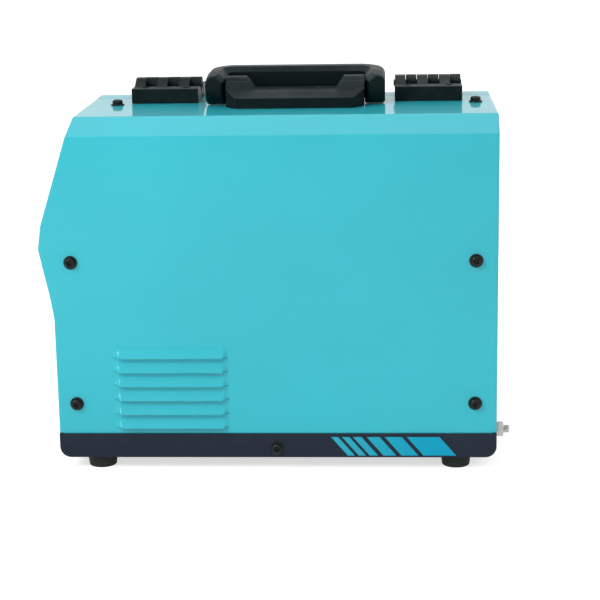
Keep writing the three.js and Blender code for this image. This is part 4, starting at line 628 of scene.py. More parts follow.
@dataclass(frozen=True)
class Finish:
    """A finish, drawn with noise relief, tone, an edge mask and dust; the edge mask is rubbed wear on some
    finishes and a painted highlight on others.

    Attributes:
        slot: the record's material slot.
        colour: base colour in linear light.
        roughness: of the surface; it varies by the tone.
        metallic: 1 for a bare metal.
        coat: share of clear gloss over it.
        sheen_level: the shader's specular level, 0.5 for a plain gloss.
        tone: how far the colour darkens in its clouds.
        grain: scale of the fine relief, per metre.
        depth: strength of the fine relief.
        stretch: of the relief along x, y and z.
        highlight_and_wear: share of the edge mask, and highlight_and_worn_colour the colour under it; rubbed
            paint on most finishes, a painted highlight on the turquoise paint, and partly each on the black
            plastic.
        dust: share of dust on what faces up.
    """

    slot: str
    colour: Colour
    roughness: float = 0.5
    metallic: float = 0.0
    coat: float = 0.0
    sheen_level: float = 0.5
    tone: float = 0.12
    grain: float = 900.0
    depth: float = 0.08
    stretch: tuple[float, float, float] = (1.0, 1.0, 1.0)
    highlight_and_wear: float = 0.0
    highlight_and_worn_colour: Colour = (0.5, 0.5, 0.5)
    dust: float = 0.0
    label: str = ""

    def painted(self, wiring: Wiring, tone: Socket) -> Socket:
        """Base colour before wear and dust: the colour, darkened in its clouds."""
        dark = tuple(value * (1 - self.tone) for value in self.colour)
        return wiring.blend(wiring.ramp(tone, 0.3, 0.7), dark, self.colour)

    def material(self) -> bpy.types.Material:
        """The finish's material, built the first time that a piece asks for it."""
        name = self.label or self.slot
        if name in bpy.data.materials and bpy.data.materials[name].get("dressed"):
            return bpy.data.materials[name]
        made = bpy.data.materials.new(name)
        made.name = name
        made.use_nodes = True
        made["dressed"] = True
        wiring = Wiring(made.node_tree)
        relief = wiring.node("Group", node_tree=relief_group())
        relief.inputs["Scale"].default_value = self.grain
        relief.inputs["Stretch"].default_value = self.stretch
        colour = self.painted(wiring, relief.outputs["Tone"])
        # The edge mask lays rubbed wear on most finishes, and a painted highlight on the turquoise paint and
        # partly on the black plastic.
        if self.highlight_and_wear:
            edge_mark = wiring.node("Group", {}, node_tree=wear_and_highlight_group())
            edge_mark.inputs["Amount"].default_value = self.highlight_and_wear
            colour = wiring.blend(edge_mark.outputs["Mask"], colour, self.highlight_and_worn_colour)
        if self.dust:
            dusty = wiring.node("Group", {}, node_tree=dust_group())
            dusty.inputs["Amount"].default_value = self.dust
            colour = wiring.blend(dusty.outputs["Mask"], colour, DUST_TINT)
        spread = wiring.math("MULTIPLY_ADD", relief.outputs["Tone"], 0.24, self.roughness - 0.12)
        bump = wiring.node("Bump", {"Height": relief.outputs["Height"], "Strength": self.depth,
            "Distance": 0.0005})
        shader = wiring.node("BsdfPrincipled", {
            "Base Color": colour, "Roughness": spread, "Metallic": self.metallic,
            "Specular IOR Level": self.sheen_level, "Coat Weight": self.coat, "Coat Roughness": 0.04,
            "Normal": bump.outputs[0]})
        out = wiring.node("OutputMaterial")
        wiring.put(out.inputs[0], shader.outputs[0])
        return made


@dataclass(frozen=True)
class StripedPaint(Finish):
    """Dark paint with slanted stripes on the near wall of the tray.

    A stripe is the band of u = x + lean * (z - stripe_top) between two values, between stripe_low and
    stripe_top, on faces that look to -Y.
    """

    stripes: tuple[Pair, ...] = ()
    stripe_low: float = 15.0
    stripe_top: float = 34.3
    lean: float = 0.855
    first_colour: Colour = (0.05, 0.45, 0.6)
    last_colour: Colour = (0.02, 0.4, 0.6)

    def painted(self, wiring: Wiring, tone: Socket) -> Socket:
        """The plain paint, with the stripes laid over it."""
        base = super().painted(wiring, tone)
        place = wiring.node("SeparateXYZ", {0: wiring.node("TexCoord").outputs["Object"]})
        x, y, z = place.outputs
        u = wiring.math("MULTIPLY_ADD", z, self.lean, wiring.math("SUBTRACT", x,
            self.lean * self.stripe_top * MM))
        bands = [wiring.math("COMPARE", u, (a + b) / 2 * MM, (b - a) / 2 * MM) for a, b in self.stripes]
        mask = bands[0]
        for band in bands[1:]:
            mask = wiring.math("ADD", mask, band)
        middle, half = (self.stripe_low + self.stripe_top) / 2, (self.stripe_top - self.stripe_low) / 2
        mask = wiring.math("MULTIPLY", mask, wiring.math("COMPARE", z, middle * MM, half * MM))
        mask = wiring.math("MULTIPLY", mask, wiring.math("LESS_THAN", y, (-FAR_FACE + 0.3) * MM))
        ends = (self.stripes[0][0] * MM, self.stripes[-1][1] * MM)
        return wiring.blend(mask, base, wiring.blend(wiring.ramp(x, *ends), self.first_colour,
            self.last_colour))


@dataclass(frozen=True)
class LayeredSteel(Finish):
    """Stack of thin steel sheets: dark seams at a steady pitch along one axis."""

    pitch: float = 1.0
    axis: int = 0

    def painted(self, wiring: Wiring, tone: Socket) -> Socket:
        """The plain colour, darkened near each seam."""
        base = super().painted(wiring, tone)
        place = wiring.node("SeparateXYZ", {0: wiring.node("TexCoord").outputs["Object"]}).outputs[self.axis]
        step = wiring.math("PINGPONG", wiring.math("DIVIDE", place, self.pitch * MM), 0.5)
        seam = wiring.ramp(step, 0.02, 0.14)
        return wiring.blend(seam, tuple(value * 0.25 for value in self.colour), base)


# The turquoise paint's edge share and pale edge colour paint a highlight line along the covers' convex bends;
# this is painted highlight, not rubbed paint.
TURQUOISE = Finish("turquoise_paint", linear(45, 199, 215), roughness=0.4, coat=0.68, sheen_level=0.08,
    tone=0.05, grain=420.0,
    depth=0.02, highlight_and_wear=0.12, highlight_and_worn_colour=linear(190, 225, 228), dust=0.01)
NAVY = Finish("navy_paint", linear(32, 41, 56), roughness=0.42, sheen_level=0.2, tone=0.16, grain=700.0,
    depth=0.05, highlight_and_wear=0.15, highlight_and_worn_colour=linear(80, 86, 98), dust=0.03, label="navy_panel_paint")
TRAY_PAINT = StripedPaint("navy_paint", linear(32, 41, 56), roughness=0.4, sheen_level=0.15, tone=0.16,
    grain=700.0,
    depth=0.05, highlight_and_wear=0.15, highlight_and_worn_colour=linear(80, 86, 98), dust=0.02,
    stripes=((54.1, 61.1), (65.0, 72.2), (75.8, 84.2), (89.5, 102.3), (107.3, 124.2), (129.2, 161.6)),
    first_colour=linear(52, 182, 206), last_colour=linear(16, 172, 208))
# The black plastic's edge share and lighter edge colour are partly rubbed wear and partly a painted highlight
# along its edges.
BLACK_PLASTIC = Finish("black_plastic", linear(12, 26, 27), roughness=0.42, sheen_level=0.09, tone=0.25,
    grain=1500.0,
    depth=0.2, highlight_and_wear=0.16, highlight_and_worn_colour=linear(66, 80, 80), dust=0.085)
RUBBER = Finish("foot_rubber", linear(34, 41, 38), roughness=0.7, sheen_level=0.25, tone=0.3, grain=1100.0,
    depth=0.3,
    highlight_and_wear=0.15, highlight_and_worn_colour=linear(48, 48, 47), dust=0.05)
BLACK_SCREW = Finish("black_screw", linear(5, 11, 12), roughness=0.26, sheen_level=0.24, tone=0.12,
    grain=2200.0, depth=0.03,
    highlight_and_wear=0.1, highlight_and_worn_colour=linear(60, 72, 74), dust=0.01)
BLACK_PIN = Finish("zinc_steel", linear(20, 24, 26), roughness=0.36, sheen_level=0.35, tone=0.2,
    grain=2000.0, depth=0.05,
    label="black_pin")
ZINC = Finish("zinc_steel", linear(188, 190, 184), roughness=0.34, metallic=1.0, tone=0.22, grain=1400.0,
    depth=0.05,
    highlight_and_wear=0.25, highlight_and_worn_colour=linear(225, 225, 222))
CHASSIS_ZINC = Finish("chassis_zinc", linear(176, 180, 180), roughness=0.4, metallic=0.9, tone=0.18,
    grain=260.0,
    depth=0.02, dust=0.06)
BRASS = Finish("brass", linear(196, 158, 82), roughness=0.3, metallic=1.0, tone=0.25, grain=1200.0,
    depth=0.04,
    highlight_and_wear=0.3, highlight_and_worn_colour=linear(232, 202, 130))
ALUMINIUM = Finish("cast_aluminium", linear(168, 172, 174), roughness=0.5, metallic=0.85, tone=0.18,
    grain=800.0,
    depth=0.2, highlight_and_wear=0.2, highlight_and_worn_colour=linear(215, 217, 218), dust=0.05)
GREY_PLASTIC = Finish("grey_plastic", linear(98, 102, 104), roughness=0.5, tone=0.14, grain=1300.0,
    depth=0.15,
    highlight_and_wear=0.1, highlight_and_worn_colour=linear(150, 152, 152), dust=0.05)
RED_PLASTIC = Finish("red_plastic", linear(176, 34, 26), roughness=0.34, tone=0.12, grain=1500.0, depth=0.06,
    highlight_and_wear=0.1, highlight_and_worn_colour=linear(210, 90, 80))
SMOKED = Finish("smoked_window", linear(16, 19, 22), roughness=0.2, coat=0.4, sheen_level=0.1, tone=0.1,
    grain=300.0, depth=0.01)
BEZEL = Finish("smoked_window", linear(24, 30, 32), roughness=0.4, sheen_level=0.3, tone=0.15, grain=1500.0,
    depth=0.15,
    highlight_and_wear=0.1, highlight_and_worn_colour=linear(70, 76, 76), dust=0.04, label="window_bezel")
WHITE_MARK = Finish("black_plastic", linear(226, 228, 226), roughness=0.5, tone=0.06, grain=1500.0,
    depth=0.05,
    label="white_mark")
LAMINATED = LayeredSteel("laminated_steel", linear(96, 92, 88), roughness=0.5, metallic=0.7, tone=0.2,
    grain=900.0,
    depth=0.12, dust=0.08, pitch=1.0)
BOARD = Finish("circuit_board", linear(26, 84, 52), roughness=0.4, coat=0.3, tone=0.2, grain=600.0,
    depth=0.05, dust=0.05)
COPPER = Finish("laminated_steel", linear(176, 98, 52), roughness=0.34, metallic=0.9, coat=0.4, tone=0.2,
    grain=1500.0,
    depth=0.05, label="copper_winding")
SLEEVE = Finish("circuit_board", linear(28, 32, 46), roughness=0.38, coat=0.3, tone=0.1, grain=900.0,
    depth=0.04,
    label="capacitor_sleeve")
FERRITE = Finish("circuit_board", linear(44, 45, 48), roughness=0.6, tone=0.2, grain=1800.0, depth=0.2,
    label="ferrite")
MOTOR_STEEL = Finish("motor_steel", linear(150, 152, 150), roughness=0.36, metallic=0.9, tone=0.2,
    grain=300.0,
    depth=0.05, stretch=(1.0, 12.0, 1.0), highlight_and_wear=0.1, highlight_and_worn_colour=linear(205, 205, 204))
FINISHES = (TURQUOISE, NAVY, BLACK_PLASTIC, RUBBER, BLACK_SCREW, ZINC, CHASSIS_ZINC, BRASS, ALUMINIUM,
    GREY_PLASTIC,
    RED_PLASTIC, SMOKED, LAMINATED, BOARD, MOTOR_STEEL)


# ---- Case ---------------------------------------------------------------------------------------
OUT_NEAR = np.array([(1, 0, 0), (0, 0, -1), (0, 1, 0)], float)  # local z looks to -Y
OUT_REAR = np.array([(0, 0, 1), (1, 0, 0), (0, 1, 0)], float)  # local z looks to +X
UPRIGHT = np.eye(3)


HOOD_SHARES = np.array([0.0, 0.5, 1.2, 2.1, 3.2, 4.4, 5.6, 6.7, 7.6, 8.3, 8.8, 9.0]) / 9  # rows up a hood


@dataclass
class LouvreBank:
    """Row of hoods pressed out of the near cover, each open along its lower lip.

    A hood stands proud by depth * (1 - r) ** 1.8, where r is how far a point is from the middle line of its
    lip, in shares of the rise upwards and of the end's reach sideways, so it runs out without an edge.
    """

    count: int = 6
    pitch: float = 14.4
    top_lip: float = 116.3
    middle: float = -103.8
    length: float = 115.5
    rise: float = 12.0
    end: float = 6.5
    depth: float = 5.8

    def lips(self) -> Array:
        """Height of each hood's lower lip, from the lowest."""
        return self.top_lip - self.pitch * np.arange(self.count)[::-1]

    def heights(self) -> tuple[Array, Array]:
        """Heights of the sheet's rows across the bank, and for each whether it starts a hood at its lip."""
        above = HOOD_SHARES * self.rise
        rows, starts = [], []
        for lip in self.lips():
            rows += [lip, *(lip + above), lip + self.rise + 0.7]
            starts += [False, True, *[False] * len(above)]
        return np.array(rows), np.array(starts)

    def columns(self) -> Array:
        """Places along the machine where the sheet needs a column, close together at the hoods' ends."""
        low, high = self.middle - self.length / 2, self.middle + self.length / 2
        end = self.end + 1
        return np.concatenate([spaced(low - 1, low + end, 0.7), spaced(low + end + 4, high - end - 4, 8),
            spaced(high - end, high + 1, 0.7)])

    def proud(self, x: Array, z: Array, lip: float) -> Array:
        """How far a hood stands out of the sheet at each point; nothing below its lip."""
        side = np.maximum(np.abs(x - self.middle) - (self.length / 2 - self.end), 0)
        reach = np.clip(np.hypot(side / self.end, (z - lip) / self.rise), 0, 1)
        return self.depth * (1 - reach) ** 1.8


@dataclass
class CaseShell:
    """Base tray, the two folded covers and the feet."""

    front_corners: tuple = ((-218.0, 0.0), (-218.0, 162.0, 30.0), (-232.5, 233.0, 45.0), (-193.7, 353.0))
    chamfer_in: float = 20.0
    chamfer_drop: float = 17.0
    bend: float = 2.6
    seam: Pair = (54.75, 56.25)
    lip: float = 10.0
    edge_return: float = 9.0
    edge_bend: float = 1.6
    tray_corner: float = 11.0
    tray_slots: int = 6
    louvres: LouvreBank = field(default_factory=LouvreBank)

    def front(self, z: Array) -> Array:
        """Place of the case's front edge at each height."""
        line = rounded(self.front_corners, 12, closed=False)
        return np.interp(z, line[:, 1], line[:, 0])

    def columns(self) -> Array:
        """Columns of a cover as rows of (share of the length, shift along it, depth behind the skin).

        The ends turn in round a quarter circle and run on to the return's inner edge.
        """
        turn = np.linspace(0, math.pi / 2, 5)
        first = np.stack([0 * turn, self.edge_bend * (1 - np.cos(turn)),
            self.edge_bend * (1 - np.sin(turn))], -1)
        start = np.concatenate([[(0, 0, self.edge_return)], first])
        places = np.unique(np.round(np.concatenate([spaced(-HALF_LENGTH + 4, HALF_LENGTH - 4, 12),
            self.louvres.columns()]), 2))
        shares = (places + HALF_LENGTH) / (2 * HALF_LENGTH)
        inner = np.stack([shares, 0 * shares, 0 * shares], -1)
        end = start[::-1] * (1, -1, 1) + (1, 0, 0)
        return np.concatenate([start, inner, end])

    def cover(self, corners: Sequence[Pair], rows_at: Callable[[Array], Array]) -> Array:
        """Points of a folded cover: its section carried from the front edge to the rear.

        A point of the section at depth d lies on the line from the outer fold to the fold set in by the
        return's depth; its place along the machine is front(z) + share * (length to the rear) + shift.

        Args:
            corners: the section's outer corners as (y, z), front end view.
            rows_at: gives the rows' places among the fold points.

        Returns:
            Points, rows x columns x 3.
        """
        corners = np.asarray(corners, float)
        ahead = unit(np.diff(corners, axis=0))
        inward = np.stack([ahead[:, 1], -ahead[:, 0]], -1)
        before = np.concatenate([inward[:1], inward])
        after = np.concatenate([inward, inward[-1:]])
        mitre = (before + after) / (1 + (before * after).sum(-1, keepdims=True))
        outer = rounded([(*c, self.bend) for c in corners], 6, closed=False)
        inner = rounded([(*c, 0.02) for c in corners + self.edge_return * mitre], 6, closed=False)
        rows = rows_at(outer)
        spots = np.arange(len(outer))
        fold, set_in = (np.stack([np.interp(rows, spots, run[:, k]) for k in (0, 1)], -1)
            for run in (outer, inner))
        share, shift, depth = self.columns().T
        section = fold[:, None] + (set_in - fold)[:, None] * (depth / self.edge_return)[None, :, None]
        front = self.front(section[..., 1])
        x = front + share * (HALF_LENGTH - front) + shift
        return np.stack([x, section[..., 0], section[..., 1]], -1)

    def side_cover(self) -> Shell:
        """Near cover: side, chamfer and most of the top, its seam lip, and the louvres."""
        low = 26.0
        corners = [(-NEAR_FACE, low), (-NEAR_FACE, TOP - self.chamfer_drop),
            (-NEAR_FACE + self.chamfer_in, TOP), (self.seam[0], TOP)]
        hood_rows, starts = self.louvres.heights()
        plain = np.concatenate([[low, TRAY_RIM + SEAT], spaced(132, 320, 24)])
        heights = np.concatenate([plain, hood_rows])
        marks = np.concatenate([np.zeros(len(plain), bool), starts])
        order = np.lexsort([marks, heights])
        heights, marks = heights[order], marks[order]

        def rows_at(outer: Array) -> Array:
            """Rows in the upright side at the chosen heights, then each fold point after it."""
            return np.concatenate([(heights - low) / (outer[1, 1] - low), np.arange(1, len(outer))])

        points = self.cover(corners, rows_at)
        x, z = points[..., 0], points[..., 2]
        hooded = np.zeros(len(points), bool)
        hooded[:len(marks)] = np.cumsum(marks) > 0
        for number, lip in enumerate(self.louvres.lips()):
            first = np.flatnonzero(marks)[number]
            rows = slice(first, first + len(HOOD_SHARES))
            points[rows, :, 1] -= self.louvres.proud(x[rows], z[rows], lip)
        kept = np.ones((points.shape[0] - 1, points.shape[1] - 1), bool)
        kept[np.flatnonzero(marks) - 1] = False
        returns = 6
        kept[0, :returns] = kept[0, -returns:] = False
        skin = grid(points, kept=kept)
        edge = points[-1, returns - 1:1 - returns]
        lip = grid(np.stack([edge, edge - (0, 0, self.lip)]))
        return joined([skin, lip])

    def door(self) -> Shell:
        """Far cover, from the seam over the chamfer and down to just above the tray."""
        corners = [(self.seam[1], TOP), (FAR_FACE - self.chamfer_in, TOP),
            (FAR_FACE, TOP - self.chamfer_drop), (FAR_FACE, TRAY_RIM + 1)]

        def rows_at(outer: Array) -> Array:
            """Each fold point, and even steps down the side."""
            last = len(outer) - 1
            return np.concatenate([np.arange(last), last - 1 + spaced(0, 1, 0.1)[1:]])

        return grid(self.cover(corners, rows_at))

    def tray(self) -> Shell:
        """Open pan: a strip over front wall, floor and rear wall, and a wall at each side."""
        half, low, rim = HALF_LENGTH, TRAY_BOTTOM, TRAY_RIM
        line = rounded([(-half, rim), (-half, low, self.tray_corner), (half, low, self.tray_corner),
            (half, rim)], 8, False)
        first = np.flatnonzero(line[:, 1] < low + 1e-6)[0]
        first_slot, slot_pitch, half_slot = 47, 18, 3
        middles = first_slot + slot_pitch * np.arange(self.tray_slots)
        slots = np.stack([middles - half_slot, middles + half_slot], -1).ravel()
        floor = np.stack([slots, np.full(len(slots), low)], -1)
        line = np.concatenate([line[:first + 1], floor, line[first + 1:]])
        y = np.array([-FAR_FACE, -72.0, -28.0, FAR_FACE])
        points = np.stack(np.broadcast_arrays(line[:, :1], y[None, :], line[:, 1:]), -1)
        kept = np.ones((len(line) - 1, 3), bool)
        kept[first + 1:first + 1 + len(slots):2, 1] = False
        strip = grid(points, kept=kept)
        count = len(line)
        near = Shell(points[:, 0], [list(range(count))])
        far = Shell(points[:, -1], [list(range(count))[::-1]])
        return joined([strip, near, far])

    def foot(self, node: str) -> Shell:
        """Rubber foot: a tapered, round-edged disc with a screw well underneath."""
        profile = rounded([(0, 6), (4.5, 6), (4.5, 0), (13.7, 0, 1), (14, 2, 1), (14.6, 8),
            (14.6, 12.7, 0.6), (0, 12.7)],
            5, closed=False)
        return revolved(profile, "z", (*node_centre(node)[:2], 0), 56)

    def pieces(self) -> list[Piece]:
        """The tray, its shelf, both covers and the feet."""
        shelf = block((-HALF_LENGTH + 0.8, -206.3), (-103.9, 106.7), (TRAY_RIM - SHEET, TRAY_RIM))
        feet = [f"foot_{end}_{side}" for end in ("front", "rear") for side in ("near", "far")]
        return [
            Piece("base_tray", TRAY_PAINT, self.tray(), wall=SHEET, bevel=0.5, crease=30),
            Piece("base_tray", TRAY_PAINT, shelf, bevel=0.3, label="tray_shelf"),
            Piece("side_cover", TURQUOISE, self.side_cover(), wall=SHEET, crease=50),
            Piece("door", TURQUOISE, self.door(), wall=SHEET, crease=50),
            *[Piece(node, RUBBER, self.foot(node)) for node in feet],
        ]


@dataclass
class CoverScrews:
    """Black pan-head screws with a fixed washer and a cross recess."""

    washer: float = 6.8
    head: float = 5.2
    rise: float = 5.6
    recess_reach: float = 2.7
    recess_half: float = 0.75
    recess_depth: float = 2.2
    height: float = 5.8

    def screw(self) -> Shell:
        """One screw with its seat at zero and its head up.

        The head's top is sunk by recess_depth inside a cross: where the smaller of |x| and |y| is under
        recess_half and the larger under recess_reach, both with a short slope.
        """
        outer = rounded([(0, -10), (2.4, -10, 0.8), (2.4, SEAT), (self.washer, SEAT, 0.3),
            (self.washer, 1.4, 0.4), (self.head, 1.5), (self.head, self.rise - 1.1, 1.4),
            (3.8, self.rise, 1.6)], 4, closed=False)
        top = np.linspace(3.4, 0, 18)
        crown = np.stack([top, self.rise + 0.25 * (1 - (top / 3.6) ** 2)], -1)

        def recess(angle: Array, radius: Array, height: Array) -> tuple[Array, Array]:
            """Sinks the crown inside the cross."""
            x, y = np.abs(radius * np.cos(angle)), np.abs(radius * np.sin(angle))
            thin = np.clip((self.recess_half - np.minimum(x, y)) / 0.25, 0, 1)
            near = np.clip((self.recess_reach - np.maximum(x, y)) / 0.5, 0, 1)
            sunk = np.where(height >= self.rise, thin * near * self.recess_depth, 0)
            return radius, height - sunk

        return revolved(np.concatenate([outer, crown]), turns=72, shaping=recess)

    def pieces(self) -> list[Piece]:
        """Four on the side, one in the tray's wall and two on top, each turned its own way."""
        made = []
        places = [(f"side_screw_{end}_{row}", OUT_NEAR)
            for end in ("front", "rear") for row in ("low", "high")]
        places += [("tray_screw", OUT_NEAR), ("top_screw_front", UPRIGHT), ("top_screw_rear", UPRIGHT)]
        for number, (node, basis) in enumerate(places):
            (low, high), seat = node_box(node), node_centre(node)
            if basis is OUT_NEAR:
                seat[1] = low[1] + self.height
            else:
                seat[2] = high[2] - self.height
            spin = turning("z", math.radians(23 + 41 * number))
            made.append(Piece(node, BLACK_SCREW, self.screw().turned(basis @ spin, seat), crease=40))
        return made


@dataclass
class BlockHinge:
    """Black block hinge on the top: a fixed leaf, a leaf on the door and the pin between them.

    Outlines are drawn across the pin as (distance out from it, height over it).
    """

    label: str
    length: float = 68.0
    knuckles: int = 6
    gap: float = 0.6
    barrel: float = 8.5
    pin: float = 3.0
    seat: float = -13.2
    top: float = 1.5
    backoff: float = 10.0
    slope: Pair = (25.5, 11.5)
    fixed_reach: float = 46.5
    door_reach: float = 30.5
    well: float = 4.2

    def spans(self, first: int) -> list[Pair]:
        """Span of every other knuckle along the pin, from the first."""
        pitch = self.length / self.knuckles
        starts = np.arange(first, self.knuckles, 2) * pitch - self.length / 2
        return [(start + self.gap / 2, start + pitch - self.gap / 2) for start in starts]

    def fixed(self) -> tuple[list, list]:
        """Outlines of the fixed leaf: its block, scooped behind, and a knuckle that rises in a flat slope."""
        low, (start, end), r = self.seat, self.slope, self.barrel
        pad = [(self.fixed_reach, low), (self.fixed_reach, self.top, 0.8), (start, self.top),
            (end, low + 5, 2), (self.backoff, low + 5), (self.backoff, low)]
        knuckle = [(start, low), (start, self.top), (end, r, 3), (-r, r, r - 0.1), (-r, -r, r - 0.1),
            (0, -r), (0, low)]
        return pad, knuckle

    def lifting(self) -> tuple[list, list]:
        """Outlines of the door's leaf: its lower block and a round knuckle."""
        low, r = self.seat, self.barrel
        pad = [(self.door_reach, low), (self.door_reach, self.top - 1.5, 0.8), (self.backoff, self.top - 1.5),
            (self.backoff, low)]
        knuckle = [(self.backoff + 1, low), (self.backoff + 1, -1), (r, -1), (r, r, r - 0.1),
            (-r, r, r - 0.1), (-r, -r, r - 0.1), (0, -r), (0, low)]
        return pad, knuckle

    def leaf(self, side: int, outlines: tuple[list, list], reach: float) -> tuple[Shell, list[Shell]]:
        """A leaf and its screw wells, in the pin's frame; side is -1 for the fixed leaf, 1 for the door's."""
        pad, knuckle = (rounded([(side * u, v, *rest) for u, v, *rest in corners],
            10) for corners in outlines)
        half = self.length / 2
        parts = [prism(pad, (-half, half), "x")]
        parts += [bored(knuckle, self.pin + RUN, span) for span in self.spans(0 if side < 0 else 1)]
        place = side * (self.backoff + (reach - self.backoff) * 0.7)
        wells = [revolved([(0, self.top - 5), (self.well, self.top - 5), (self.well, self.top + 2),
            (0, self.top + 2)],
            "z", (share * self.length, place, 0), 32) for share in (-0.31, 0.31)]
        return joined(parts), wells

    def pieces(self) -> list[Piece]:
        """Both leaves and the pin of this hinge."""
        middle = node_centre(f"hinge_{self.label}_pin") + (0.2, 0, 0)
        made = []
        for leaf, side, outlines, reach in (("fixed", -1, self.fixed(), self.fixed_reach),
                ("door", 1, self.lifting(), self.door_reach)):
            shell, wells = self.leaf(side, outlines, reach)
            made.append(Piece(f"hinge_{self.label}_{leaf}_leaf", BLACK_PLASTIC, shell.moved(middle),
                bevel=0.4,
                crease=40, cuts=[well.moved(middle) for well in wells]))
        half, head = self.length / 2, self.pin + 0.8
        profile = rounded([(0, -half - 1.2), (head, -half - 1.2, 0.5), (head, -half - SEAT),
            (self.pin, -half - SEAT), (self.pin, half + 0.8, 0.8), (0, half + 0.8)], 4, closed=False)
        made.append(Piece(f"hinge_{self.label}_pin", BLACK_PIN, revolved(profile, "x", middle, 40)))
        return made


